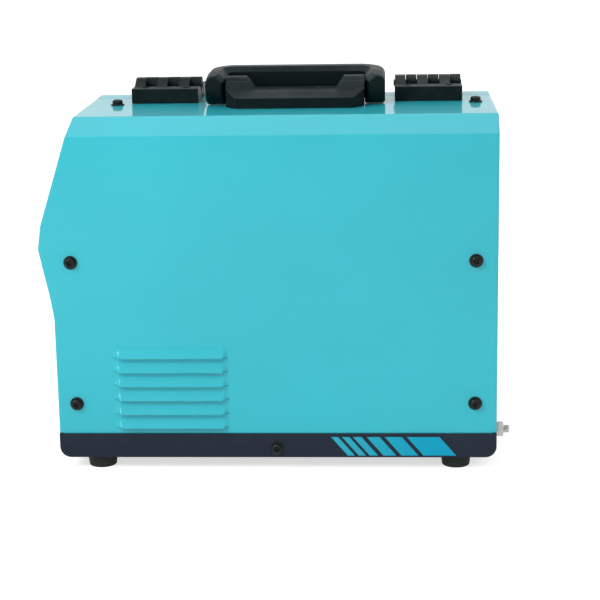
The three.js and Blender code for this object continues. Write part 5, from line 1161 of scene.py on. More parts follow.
@dataclass
class CarryHandle:
    """Folding handle: a U-shaped grip on a base with two ears, and a pivot pin in each ear.

    Heights are taken from the top sheet, and x from the handle's middle.
    """

    middle: float = 19.0
    span: float = 180.0
    arm: float = 20.4
    pivot_y: float = -4.0
    pivot_rise: float = 16.0
    pin: float = 4.0
    hub: float = 15.5
    brow: float = 31.5
    top: float = 34.6
    reach: float = 52.5
    bar_front: float = 26.2
    bar_floor: float = 14.6
    corner: float = 18.0
    inner_corner: float = 5.0
    bevel: Pair = (7.2, 5.2)
    fall: Pair = (2.2, 24.0)
    shoulder: float = 6.5
    base_front: float = -38.5
    base_back: float = 21.8
    plate: float = 15.6
    ear: float = 20.0
    ear_top: float = 29.0
    ear_step: float = 25.0
    lip: float = 10.2
    cut_corner: float = 10.0
    screws: tuple[float, float, float] = (49.6, 4.3, 7.5)

    def floor(self, y: Array) -> Array:
        """Underside of the grip at y: round about the pivot, then a slope up to the bar."""
        low = self.pivot_rise - self.hub
        front = self.pivot_y - self.hub
        line = rounded([(front, self.pivot_rise), (front, low, self.hub), (self.pivot_y + 8, low, 6),
            (self.bar_front, self.bar_floor, 8), (self.reach + 5, self.bar_floor)], 16, closed=False)
        return np.interp(y, line[:, 0], line[:, 1])

    def crown(self, x: Array, y: Array) -> Array:
        """Top of the grip: it rises from the brow of the arms to the bar, and falls a little to each end."""
        line = rounded([(self.pivot_y - self.hub, self.brow), (self.pivot_y + 6, self.top, 20),
            (self.reach + 5, self.top)], 8, closed=False)
        drop, run = self.fall
        share = np.clip((np.abs(x) - (self.span / 2 - run)) / run, 0, 1)
        return np.interp(y, line[:, 0], line[:, 1]) - drop * share ** 1.3

    def runs(self) -> tuple[Array, Array]:
        """Matching points (x, y) along the grip's outer and inner edges, from arm end to arm end."""
        half, inner = self.span / 2, self.span / 2 - self.arm
        front, turn = self.pivot_y - self.hub, self.inner_corner
        y = np.concatenate([front + self.hub * (1 - np.cos(np.linspace(0, math.pi / 2, 15))),
            spaced(self.pivot_y + 2, self.bar_front - turn, 3)])
        narrowed = np.clip(1 - (y - front) / 9, 0, 1) * 4
        arms = np.stack([np.full(len(y), half), y], -1), np.stack([inner + narrowed, y], -1)
        outer = rounded([(half, self.bar_front - turn), (half, self.reach, self.corner),
            (inner - turn, self.reach)], 24, False)
        inside = rounded([(inner, self.bar_front - turn), (inner, self.bar_front, turn - 0.01),
            (inner - turn, self.bar_front)], 24, False)
        share = np.linspace(0, 1, 19)[1:-1]
        bends = tuple(walked(run, share) for run in (outer, inside))
        x = spaced(inner - turn, 0, 6)
        bars = np.stack([x, np.full(len(x), self.reach)], -1), np.stack([x,
            np.full(len(x), self.bar_front)], -1)
        halves = [np.concatenate(parts) for parts in zip(arms, bends, bars)]
        return tuple(np.concatenate([run, run[-2::-1] * (-1, 1)]) for run in halves)

    def section(self, width: float, inset: float, side: float) -> Array:
        """Section of the grip as (distance in from the outer edge, up from the floor or down from the crown).

        Its top is rounded outside, and slopes down to the inner edge by the bevel's side.
        """
        return rounded([(inset, inset, 3), (width - inset, inset, 2), (width - inset, 60 - side, 1.2),
            (width - side, 60 - inset, 2), (inset, 60 - inset, self.shoulder)], 6)

    def grip(self) -> Shell:
        """The grip: its section carried along the U.

        A section point at height h under the middle of a 60 mm section is measured from the floor there,
        and one over it from the crown.
        """
        outer, inner = self.runs()
        gone = outer[:, 1] - (self.pivot_y - self.hub)
        edge = 2.0
        side = np.interp(gone, (self.bar_front, self.reach + self.hub), self.bevel)
        inset = np.where(gone < edge, edge - np.sqrt(np.maximum(edge ** 2 - (edge - gone) ** 2, 0)), 0)
        width = np.linalg.norm(inner - outer, axis=1)
        sections = np.stack([self.section(*sizes) for sizes in zip(width, inset, side)])
        share = (sections[..., 0] / width[:, None])[..., None]
        plan = outer[:, None] * (1 - share) + inner[:, None] * share
        low, high = self.floor(plan[..., 1]), self.crown(plan[..., 0], plan[..., 1])
        up = sections[..., 1]
        z = np.where(up < 30, low + up, high - (60 - up))
        points = np.concatenate([plan, np.maximum(z, low + 0.01)[..., None]], -1)
        return grid(points, wrap_columns=True).capped(points.shape[1])

    def base(self) -> Piece:
        """Base: a plan cut down to a front view with two ears and a side view, with bores and screw wells."""
        half, pivot = self.span / 2 - self.arm - 2 * SEAT, self.pivot_y
        front, back, eye = self.base_front, self.base_back, half - self.ear
        corner, plate, top, step = self.cut_corner, self.plate, self.ear_top, self.ear_step
        round_ear = top - self.pivot_rise
        plan = rounded([(-half, front + corner * 1.4, 2), (-half + corner, front, 4),
            (half - corner, front, 4), (half, front + corner * 1.4, 2), (half, back, 9), (-half, back, 9)], 8)
        view = rounded([(-half, SEAT), (half, SEAT), (half, top), (eye, top, 1.2), (eye - 9, plate, 2.5),
            (-eye + 9, plate, 2.5), (-eye, top, 1.2), (-half, top)], 5)
        side = rounded([(front, SEAT), (back, SEAT), (back, plate), (pivot + round_ear, plate),
            (pivot + round_ear, top, round_ear - 0.1), (pivot - 9, top, 5), (pivot - 11, step, 0.8),
            (pivot - 15, step, 1.5), (pivot - 20, plate + 1.5, 2), (pivot - 24, plate, 3),
            (front, self.lip)], 8)
        place, reach = (self.middle, 0, TOP), (-self.span, self.span)
        spacing, screw_y, radius = self.screws
        wells = [revolved([(0, -2), (2.5, -2), (2.5, 8), (radius, 8), (radius, 14), (radius + 2.4, 16.4),
            (radius + 2.4, 40), (0, 40)],
            "z", (self.middle + share * spacing, screw_y, TOP), 40) for share in (-0.5, 0.5)]
        bores = [rod(self.pin + RUN, span, "x", (self.middle, pivot, TOP + self.pivot_rise))
            for span in ((eye - 2, half + 9), (-half - 9, -eye + 2))]
        return Piece("handle_base", BLACK_PLASTIC, prism(plan, (0, self.top)).moved(place),
            bevel=0.7, bevel_steps=3,
            within=[prism(view, reach, "y", place), prism(side, reach, "x", place)], cuts=[*wells, *bores])

    def base_screws(self) -> Shell:
        """Pan-head screws at the bottom of the wells, each with a round socket."""
        spacing, screw_y, radius = self.screws
        profile = rounded([(0, 9.4), (2, 9.4), (2, 11, 0.3), (radius - 1.6, 10.4, 1.6), (radius - 1.2, 8.2),
            (0, 8.2)], 5, False)
        return joined([revolved(profile, "z", (self.middle + share * spacing, screw_y, TOP),
            40) for share in (-0.5, 0.5)])

    def washers(self) -> Shell:
        """Thin washers on the pivot pins, between the ears and the arms."""
        gap = self.span / 2 - self.arm - 2 * SEAT, self.span / 2 - self.arm
        rings = []
        for side in (-1, 1):
            low, high = sorted((side * (gap[0] + 0.05), side * (gap[1] - 0.05)))
            profile = [(self.pin + 0.1, low), (self.hub - 5, low), (self.hub - 5, high),
                (self.pin + 0.1, high)]
            rings.append(revolved(profile, "x", (0, self.pivot_y, self.pivot_rise), 40, hollow=True))
        return joined(rings)

    def pins(self, side: int) -> Shell:
        """Pivot pin of one ear: a plain round rod from inside the ear to just short of the arm's outer end.
        """
        outer = self.span / 2
        inner = outer - self.arm - 20
        span = (side * inner, side * (outer - 1))
        profile = rounded([(0, min(span)), (self.pin, min(span), 0.5), (self.pin, max(span), 0.5),
            (0, max(span))], 3, False)
        return revolved(profile, "x", (0, self.pivot_y, self.pivot_rise), 32)

    def pieces(self) -> list[Piece]:
        """Grip, base and pins."""
        place = (self.middle, 0, TOP)
        bore = revolved([(0, -self.span), (self.pin + RUN, -self.span), (self.pin + RUN, self.span),
            (0, self.span)],
            "x", (self.middle, self.pivot_y, TOP + self.pivot_rise), 32)
        return [
            Piece("handle_grip", BLACK_PLASTIC, self.grip().moved(place), crease=50, cuts=[bore]),
            self.base(),
            Piece("handle_base", BLACK_SCREW, self.base_screws(), label="base_screws", hides=False),
            Piece("handle_base", BLACK_SCREW, self.washers().moved(place), label="handle_washers",
            hides=False),
            Piece("handle_pin_front", ZINC, self.pins(-1).moved(place)),
            Piece("handle_pin_rear", ZINC, self.pins(1).moved(place)),
        ]


# ---- Turned and moulded fittings ----------------------------------------------------------------
def fluted(count: int, depth: float, low: float, high: float, inside: float) -> Shaping:
    """Flutes down a turned piece: the radius drops by depth * max(0, cos(count * angle)) ** 4.

    Args:
        count: flutes round the piece.
        depth: of a flute.
        low: height where the flutes start.
        high: height where they end.
        inside: radius under which nothing changes.

    Returns:
        The shaping for a surface of revolution.
    """

    def shape(angle: Array, radius: Array, height: Array) -> tuple[Array, Array]:
        """Presses the flutes in between the two heights, with a short run out at the lower end."""
        bite = np.maximum(np.cos(count * angle), 0) ** 4 * np.clip((height - low) / 1.5, 0, 1)
        return radius - np.where((radius > inside) & (height <= high), depth * bite, 0), height

    return shape


def threaded(pitch: float, depth: float, low: float, high: float, inside: float) -> Shaping:
    """Thread: between two heights the radius drops by depth * |1 - 2 * frac(height / pitch - turns)|."""

    def shape(angle: Array, radius: Array, height: Array) -> tuple[Array, Array]:
        """Cuts the thread and fades it out over half a pitch at both ends."""
        wave = np.abs(1 - 2 * ((height / pitch - angle / FULL_TURN) % 1))
        fade = np.clip(np.minimum(height - low, high - height) / (pitch / 2), 0, 1)
        return radius - np.where(radius > inside, depth * wave * fade, 0), height

    return shape


def chamfered_nut(flats: float, low: float, high: float, bore: float) -> Shell:
    """Hexagon nut about z: radius flats / 2 / cos(angle from the nearest flat), corners cut at both ends."""
    cut_ring, full_ring, chamfer = 9.0, 10.0, 0.9
    levels = np.array([(bore, low), (cut_ring, low), (full_ring, low + chamfer),
        (full_ring, high - chamfer), (cut_ring, high), (bore, high)])

    def hexed(angle: Array, radius: Array, height: Array) -> tuple[Array, Array]:
        """Turns the outer rings into hexagons whose corners are cut by a cone at both ends."""
        side = flats / 2 / np.cos((angle % (math.pi / 3)) - math.pi / 6)
        return np.where(radius == cut_ring, np.minimum(side, 0.99 * flats / 2),
            np.where(radius == full_ring, side, radius)), height

    return revolved(levels, "z", turns=72, shaping=hexed, hollow=True)


def standing(axis: Floats, at: Floats) -> tuple[Array, Array]:
    """Frame whose local z runs along an axis, as (basis, origin)."""
    up = unit(np.asarray(axis, float))
    side = unit(np.cross((0, 0, 1) if abs(up[2]) < 0.9 else (1, 0, 0), up))
    return np.stack([side, np.cross(up, side), up], 1), np.asarray(at, float)


@dataclass
class RockerSwitch:
    """Framed switch well with a curved rocker in it; local x across, y up and z out of the panel."""

    body: str
    rocker: str
    width: float
    length: float
    rim: float
    depth: float
    basis: Array
    at: Array
    tilt: float = 10.0

    def frame(self) -> Shell:
        """Rim and well, closed behind, as rings of rounded rectangles from the well to the outside."""
        u, v, rim = self.width, self.length, self.rim
        rings = [(u - 2.4, v - 2.4, 0.6, -self.depth + 1.5), (u - 2.4, v - 2.4, 0.6, rim - 0.9),
            (u - 1.8, v - 1.8, 0.9, rim - 0.4), (u + 2 * rim - 1, v + 2 * rim - 1, 1.6, rim - 0.4),
            (u + 2 * rim, v + 2 * rim, 2.0, rim - 1.0), (u + 2 * rim, v + 2 * rim, 2.0, SEAT),
            (u, v, 0.8, SEAT), (u, v, 0.8, -self.depth)]
        return stacked(rings).capped(RING)

    def paddle(self) -> Shell:
        """Rocker: its profile, hollowed along the top, carried across and tilted to its rest."""
        half, rim = self.length / 2 - 2.2, self.rim
        profile = rounded([(-half, rim - 3, 1), (0, -7, 2), (half, rim - 3, 1), (half, rim + 1.2, 1),
            (0, rim - 0.6, 12), (-half, rim + 1.2, 1)], 8)
        side = self.width / 2 - 1.5
        return prism(profile, (-side, side), "x").turned(turning("x", math.radians(self.tilt)), (0, 0, 0))

    def pieces(self) -> list[Piece]:
        """The switch's body and its rocker."""
        return [Piece(self.body, BLACK_PLASTIC, self.frame().turned(self.basis, self.at), bevel=0.2),
            Piece(self.rocker, RED_PLASTIC, self.paddle().turned(self.basis, self.at), bevel=0.35)]


@dataclass
class ControlFace:
    """Controls on the sloping front: display, three knobs and the mode switch; local y runs up the slope."""

    nose: Pair = (-232.5, 233.0)
    brow: Pair = (-193.7, 353.0)
    recess: float = 12.0
    share: float = 0.52
    knob_row: float = -20.0
    knob_pitch: float = 46.0
    knob_radius: float = 15.0
    knob_height: float = 15.0
    row: float = 28.0
    display: Pair = (96.0, 32.0)
    switch_column: float = 72.0

    def frame(self) -> tuple[Array, Array]:
        """Frame of the face: x across it, y up the slope and z out of it."""
        slope = np.array(self.brow) - np.array(self.nose)
        up = unit(slope)
        middle = np.array(self.nose) + (self.recess, 0) + self.share * slope
        return (np.stack([(0, -1, 0), (up[0], 0, up[1]), (-up[1], 0, up[0])], 1),
            np.array([middle[0], 0, middle[1]]))

    def knob(self, scale: float) -> tuple[Shell, Shell]:
        """Fluted knob with its shaft, and the white pointer let into its cap."""
        r, h = self.knob_radius * scale, self.knob_height
        profile = rounded([(0, -11), (3, -11), (3, 0.8), (r, 0.8, 0.5), (r, 3, 0.8), (r - 3, 5, 1.5),
            (r - 4, h, 1.6)], 4, False)
        dish = np.stack([np.linspace(r - 6, 0, 8), h - 0.5 * (1 - (np.linspace(r - 6, 0,
            8) / (r - 6)) ** 2)], -1)
        body = revolved(np.concatenate([profile[:-1], [(r - 5.2, h)], dish]), turns=120,
            shaping=fluted(18, 1.0, 5.0, h, 4.0))
        pointer = block((-0.6, 0.6), (r - 10, r - 5), (h - 0.8, h + 0.08))
        return body, pointer

    def window(self) -> tuple[Shell, Shell]:
        """Bezel as rings of rounded rectangles, and the dark pane sunk in it."""
        w, h = self.display
        rings = [(w - 10, h - 10, 1.0, -3.0), (w - 10, h - 10, 1.0, 1.6), (w - 8, h - 8, 1.6, 2.2),
            (w - 1, h - 1, 2.6, 2.2), (w, h, 3.0, 1.6), (w, h, 3.0, SEAT), (w - 7, h - 7, 1.0, SEAT),
            (w - 7, h - 7, 1.0, -4.0)]
        pane = prism(rectangle(w - 10.2, h - 10.2, 0.9), (-3.6, 1.2))
        return stacked(rings, True), pane

    def pieces(self) -> list[Piece]:
        """Window, knobs with their pointers, and the mode switch."""
        basis, at = self.frame()
        bezel, pane = self.window()
        made = [Piece("display_window", BEZEL, bezel.moved((0, self.row, 0)).turned(basis, at), bevel=0.2),
            Piece("display_window", SMOKED, pane.moved((0, self.row, 0)).turned(basis, at),
            label="display_pane", hides=False)]
        for name, column, scale in (("voltage", -1, 1.0), ("wire_speed", 0, 1.0), ("inductance", 1, 0.8)):
            place = (column * self.knob_pitch, self.knob_row, 0)
            body, pointer = self.knob(scale)
            made.append(Piece(f"{name}_knob", BLACK_PLASTIC, body.moved(place).turned(basis, at), crease=45))
            made.append(Piece(f"{name}_knob", WHITE_MARK, pointer.moved(place).turned(basis, at),
                label=f"{name}_knob_pointer", hides=False))
        corner = at + basis @ np.array((self.switch_column, self.row, 0))
        return made + RockerSwitch("mode_switch_body", "mode_rocker", 13, 19, 2.4, 14, basis, corner).pieces()


@dataclass
class FrontSockets:
    """Brass torch socket and the two output sockets on the upright lower front."""

    face: float = -206.0
    wire: Pair = (32.0, 103.0)
    output_y: Pair = (-28.0, -74.0)
    output_z: float = 77.0
    reach: float = 35.7

    def torch(self) -> Shell:
        """Torch socket: collar, threaded nose, bore and the guide tube behind, turned about x."""
        profile = rounded([(1.5, self.reach), (6, self.reach, 0.8), (8, 28), (14, 14, 1), (14, -SEAT),
            (21, -SEAT, 0.6), (21, -5, 1.2), (17, -8, 0.8), (15.2, -8.4), (15.2, -19, 1.2), (7.5, -19, 0.5),
            (6, -17), (6, 6), (1.5, 9)], 4)
        dense = resampled(profile, 0.45)
        return revolved(dense, "x", (self.face, *self.wire), 72, threaded(2.0, 0.7, -18.4, -9.0, 14.0),
            hollow=True)

    def pin_holes(self) -> list[Shell]:
        """The two contact holes beside the bore."""
        y, z = self.wire
        return [revolved([(0, -24), (1.8, -24), (1.8, -7), (0, -7)], "x", (self.face, y, z + side * 10.8), 24)
            for side in (-1, 1)]

    def output(self, y: float) -> Shell:
        """Output socket: ribbed black collar with a deep bore, and its body behind the panel."""
        profile = rounded([(0, 8), (6.5, 8), (6.5, -10, 0.5), (8.5, -11.5, 0.5), (13, -11.5, 1),
            (15, -7, 1), (18, -4, 1), (18, -SEAT, 0.4), (13, -SEAT), (13, 20, 1), (0, 20)], 4, closed=False)

        def ribbed(angle: Array, radius: Array, height: Array) -> tuple[Array, Array]:
            """Eight shallow grips round the collar."""
            bite = np.maximum(np.cos(8 * angle), 0) ** 3 * (radius > 14.5) * (height < -0.6)
            return radius - 0.9 * bite, height

        return revolved(profile, "x", (self.face, y, self.output_z), 96, ribbed)

    def pieces(self) -> list[Piece]:
        """Torch socket, both output sockets and the brass contact in each."""
        made = [Piece("torch_socket", BRASS, self.torch(), crease=40, cuts=self.pin_holes())]
        for pole, y in zip(("positive", "negative"), self.output_y):
            x, z = self.face, self.output_z
            keyway = block((x - 12, x - 2), (y - 1.6, y + 1.6), (z + 5.5, z + 8.9))
            lug = Piece(f"output_socket_{pole}", BRASS, block((x + 19, x + 30), (y - 7, y + 7),
                (z - 2, z + 2)),
                bevel=0.6, label=f"output_lug_{pole}", hides=False)
            ring = revolved(rounded([(4.4, 7.6), (6.2, 7.6), (6.2, -8, 0.4), (4.9, -8, 0.4), (4.4, -7)], 3),
                "x", (x, y, z), 40, hollow=True)
            made += [Piece(f"output_socket_{pole}", BLACK_PLASTIC, self.output(y), crease=40,
                cuts=[keyway]), lug,
                Piece(f"output_socket_{pole}", BRASS, ring, label=f"output_contact_{pole}", hides=False)]
        return made


@dataclass
class RearFittings:
    """Fan with its guard, cable gland, gas inlet, power switch and earth stud on the rear panel."""

    face: float = 216.0
    fan: Pair = (-48.0, 227.0)
    size: float = 92.0
    depth: float = 25.0
    hub: float = 17.0
    blades: int = 7
    wire: float = 1.3
    rings: int = 4
    gland: Pair = (78.0, 65.0)
    gas: Pair = (78.0, 123.0)
    switch: Pair = (52.0, 281.0)
    stud: Pair = (-67.5, 30.0)

    def guard(self) -> Shell:
        """Wire guard: round hoops, four straight spokes, and a pressed disc in the middle."""
        outer = self.size / 2
        turn = np.linspace(0, FULL_TURN, 64, endpoint=False)
        parts = [revolved(rounded([(0, 0), (8, 0, 0.6), (8, 1.6, 0.8), (0, 2.6)], 3, False), "x", turns=48)]
        for number in range(1, self.rings + 1):
            radius = 8 + (outer - 8 - self.wire) * number / self.rings
            hoop = np.stack([np.full(64, self.wire), radius * np.cos(turn), radius * np.sin(turn)], -1)
            parts.append(tube(hoop, self.wire, (1, 0, 0), 10, closed=True))
        for angle in np.arange(4) * math.pi / 2 + math.pi / 4:
            run = np.linspace(5, outer - 1, 12)
            level = np.full(12, self.wire * 1.02)
            spoke = np.stack([level, run * math.cos(angle), run * math.sin(angle)], -1)
            parts.append(tube(spoke, self.wire, (1, 0, 0), 10))
        return joined(parts).moved((self.face + SEAT, *self.fan))

    def blade(self, turn: float) -> Shell:
        """Curved fan blade: an oval section turned from 0.95 rad at the root to 0.6 at the tip, and bowed.

        At radius r the section has a half chord of 6 + 0.13 * (r - hub) and is 1.5 thick, and it is swept
        back by 0.004 * (r - hub) ** 2.
        """
        radius = np.linspace(self.hub - 1.5, self.size / 2 - 4.5, 14)[:, None]
        phase = np.linspace(0, FULL_TURN, 20, endpoint=False)[None, :]
        out = radius - self.hub
        chord, thick = (6 + 0.13 * out) * np.cos(phase), 0.75 * np.sin(phase) + 0.9 * np.cos(phase) ** 2
        pitch = 0.95 - 0.35 * (radius - radius[0]) / (radius[-1] - radius[0])
        along_shaft = chord * np.cos(pitch) * 0.95 - thick * np.sin(pitch)
        across = chord * np.sin(pitch) + thick * np.cos(pitch) + 0.004 * out ** 2
        angle = turn + across / radius
        points = np.stack([along_shaft, radius * np.cos(angle), radius * np.sin(angle)], -1)
        ends = np.repeat(points[[0, -1]].mean(1, keepdims=True), 20, 1)
        return grid(np.concatenate([ends[:1], points, ends[1:]]), wrap_columns=True)

    def rotor(self, x: float) -> Shell:
        """Rotor: a capped hub and its blades."""
        profile = rounded([(0, -8), (self.hub, -8, 1), (self.hub, 9.5, 3), (0, 10.5)], 6, False)
        hub = revolved(profile, "x", turns=56)
        blades = [self.blade(turn) for turn in np.arange(self.blades) * FULL_TURN / self.blades]
        return joined([hub, *blades]).moved((x, *self.fan))

    def housing(self, x: float) -> tuple[Shell, list[Shell]]:
        """Fan frame with its struts and motor disc, and what is cut out of it."""
        half, deep = self.size / 2, self.depth / 2
        body = prism(rectangle(self.size, self.size, 6), (-deep, deep), "x")
        corner = half - 4.8
        holes = [revolved([(0, -20), (2.2, -20), (2.2, 20), (0, 20)], "x",
            (x, self.fan[0] + a * corner, self.fan[1] + b * corner), 20)
            for a in (-1, 1) for b in (-1, 1)]
        duct = revolved([(0, -20), (half - 2, -20), (half - 2.5, -deep + 2), (half - 2.5, deep - 2),
            (half - 2, 20), (0, 20)],
            "x", (x, *self.fan), 72)
        return body.moved((x, *self.fan)), [duct, *holes]

    def struts(self, x: float) -> Shell:
        """Motor disc, its post and four struts to the frame."""
        half, deep = self.size / 2, self.depth / 2
        disc = revolved(rounded([(0, -deep), (self.hub - 1, -deep, 0.6), (self.hub - 1, -deep + 3, 0.6),
            (2.5, -deep + 3), (2.5, 2), (0, 2)], 3, False), "x", turns=48)
        bars = []
        for angle in np.arange(4) * math.pi / 2 + math.pi / 4:
            bar = block((-deep, -deep + 3), (self.hub - 3, half - 2), (-2, 2))
            bars.append(bar.turned(turning("x", angle), (0, 0, 0)))
        return joined([disc, *bars]).moved((x, *self.fan))

    def cable_gland(self) -> Shell:
        """Gland: hexagon flange and a domed, ribbed cap with a bore."""
        profile = rounded([(5, -14), (8, -14, 0.8), (8, SEAT), (13, SEAT), (13, 4.6, 0.8), (11.2, 5),
            (11, 7, 0.5), (10.2, 10.5, 2), (7, 11.5, 0.8), (5, 10, 0.6)], 4)

        def shaped(angle: Array, radius: Array, height: Array) -> tuple[Array, Array]:
            """Six flats on the flange, and fine grips on the cap."""
            flat = 12 / np.cos((angle % (math.pi / 3)) - math.pi / 6)
            capped = np.where((radius > 8.9) & (height > 4.9),
                radius - 0.45 * np.maximum(np.cos(20 * angle), 0) ** 2, radius)
            return np.where((radius > 11.5) & (height < 4.9), np.minimum(flat, 13.4), capped), height

        return revolved(profile, turns=120, shaping=shaped, hollow=True)

    def gas_inlet(self) -> Shell:
        """Hose nipple: two barbs on a collar, with a bore."""
        profile = rounded([(2.2, -16), (6, -16, 0.5), (6, 4.6), (5, 5), (4.2, 8, 0.6), (5, 8.3),
            (3.8, 10.6, 0.5), (3.4, 11.5, 0.4), (2.2, 11.5)], 4)
        return revolved(profile, turns=48, hollow=True)

    def earth(self) -> tuple[Shell, Shell, Shell]:
        """Threaded stud with its hexagon head inside, and the nut and washer outside the tray's wall."""
        out = 16.7
        run = resampled(np.array([(0.0, -3.5), (4, -3.5), (4, out - 1), (3, out), (0, out)]), 0.3)
        bolt = revolved(run, turns=48, shaping=threaded(1.25, 0.55, 2.4, out - 0.4, 2.9))
        head = chamfered_nut(13, -7.3, -1.8, 0.0)
        section = rounded([(4.3, 2.3), (8, 2.3, 0.3), (8, 4.0, 0.3), (4.3, 4.0)], 3)
        washer = revolved(section, turns=56, hollow=True)
        return joined([bolt, head]), washer, chamfered_nut(13, 4.1, 10.7, 4.3)

    def pieces(self) -> list[Piece]:
        """Every fitting of the rear panel."""
        middle = self.face - SHEET - SEAT - self.depth / 2
        body, cuts = self.housing(middle)
        bolt, washer, nut = self.earth()
        stud_at = (self.face, *self.stud)
        made = [
            Piece("fan_grille", ZINC, self.guard(), crease=50),
            Piece("fan_frame", BLACK_PLASTIC, body, bevel=0.4, cuts=cuts),
            Piece("fan_frame", BLACK_PLASTIC, self.struts(middle), bevel=0.3, label="fan_struts",
            hides=False),
            Piece("fan_rotor", BLACK_PLASTIC, self.rotor(middle), crease=50),
            Piece("cable_gland", BLACK_PLASTIC, self.cable_gland().turned(OUT_REAR,
            (self.face, *self.gland)), crease=45),
            Piece("gas_inlet", BRASS, joined([self.gas_inlet(), chamfered_nut(17, SEAT, 4.5, 6.1)])
                  .turned(OUT_REAR, (self.face, *self.gas)), crease=40),
            Piece("earth_stud", ZINC, bolt.turned(OUT_REAR, stud_at), crease=40),
            Piece("earth_nut", ZINC, joined([nut, washer]).turned(OUT_REAR, stud_at), crease=30),
        ]
        switch = RockerSwitch("power_switch_body", "power_rocker", 18, 25, 3, 16, OUT_REAR,
            np.array((self.face, *self.switch)))
        return made + switch.pieces()


@dataclass
class DoorLatch:
    """Quarter-turn latch: a round knob with a finger bar, its shaft, and a cam blade inside the door."""

    label: str
    knob_radius: float = 13.0
    proud: float = 5.0
    shaft: float = 5.0
    cam_reach: float = 27.0

    def pieces(self) -> list[Piece]:
        """The latch in one piece, its knob's face milled to both sides of the finger bar."""
        node = f"latch_{self.label}"
        low, high = node_box(node)
        at = np.array((low[0] + self.knob_radius, FAR_FACE, (low[2] + high[2]) / 2))
        inside, r, top = -SHEET - SEAT, self.knob_radius, self.proud
        profile = rounded([(0, inside - SHEET), (self.shaft, inside - SHEET), (self.shaft, SEAT),
            (r, SEAT, 0.3), (r, top - 1.2, 0.6), (r - 1.2, top, 0.8), (0, top)], 4, closed=False)
        knob = revolved(profile, "y", at, 72)
        cam = prism(rounded([(-8, -8, 5), (self.cam_reach, -8, 5), (self.cam_reach, 8, 5), (-8, 8, 5)], 6),
            (inside - SHEET, inside), "y", at)
        slots = [block((at[0] - 9.5, at[0] + 9.5), (FAR_FACE + 2, FAR_FACE + 8),
            (at[2] + side * 4.6 - 2.6, at[2] + side * 4.6 + 2.6))
            for side in (-1, 1)]
        return [Piece(node, BLACK_PLASTIC, knob, bevel=0.3, cuts=slots),
            Piece(node, BLACK_PLASTIC, cam, bevel=0.3, label=f"{node}_cam", hides=False)]


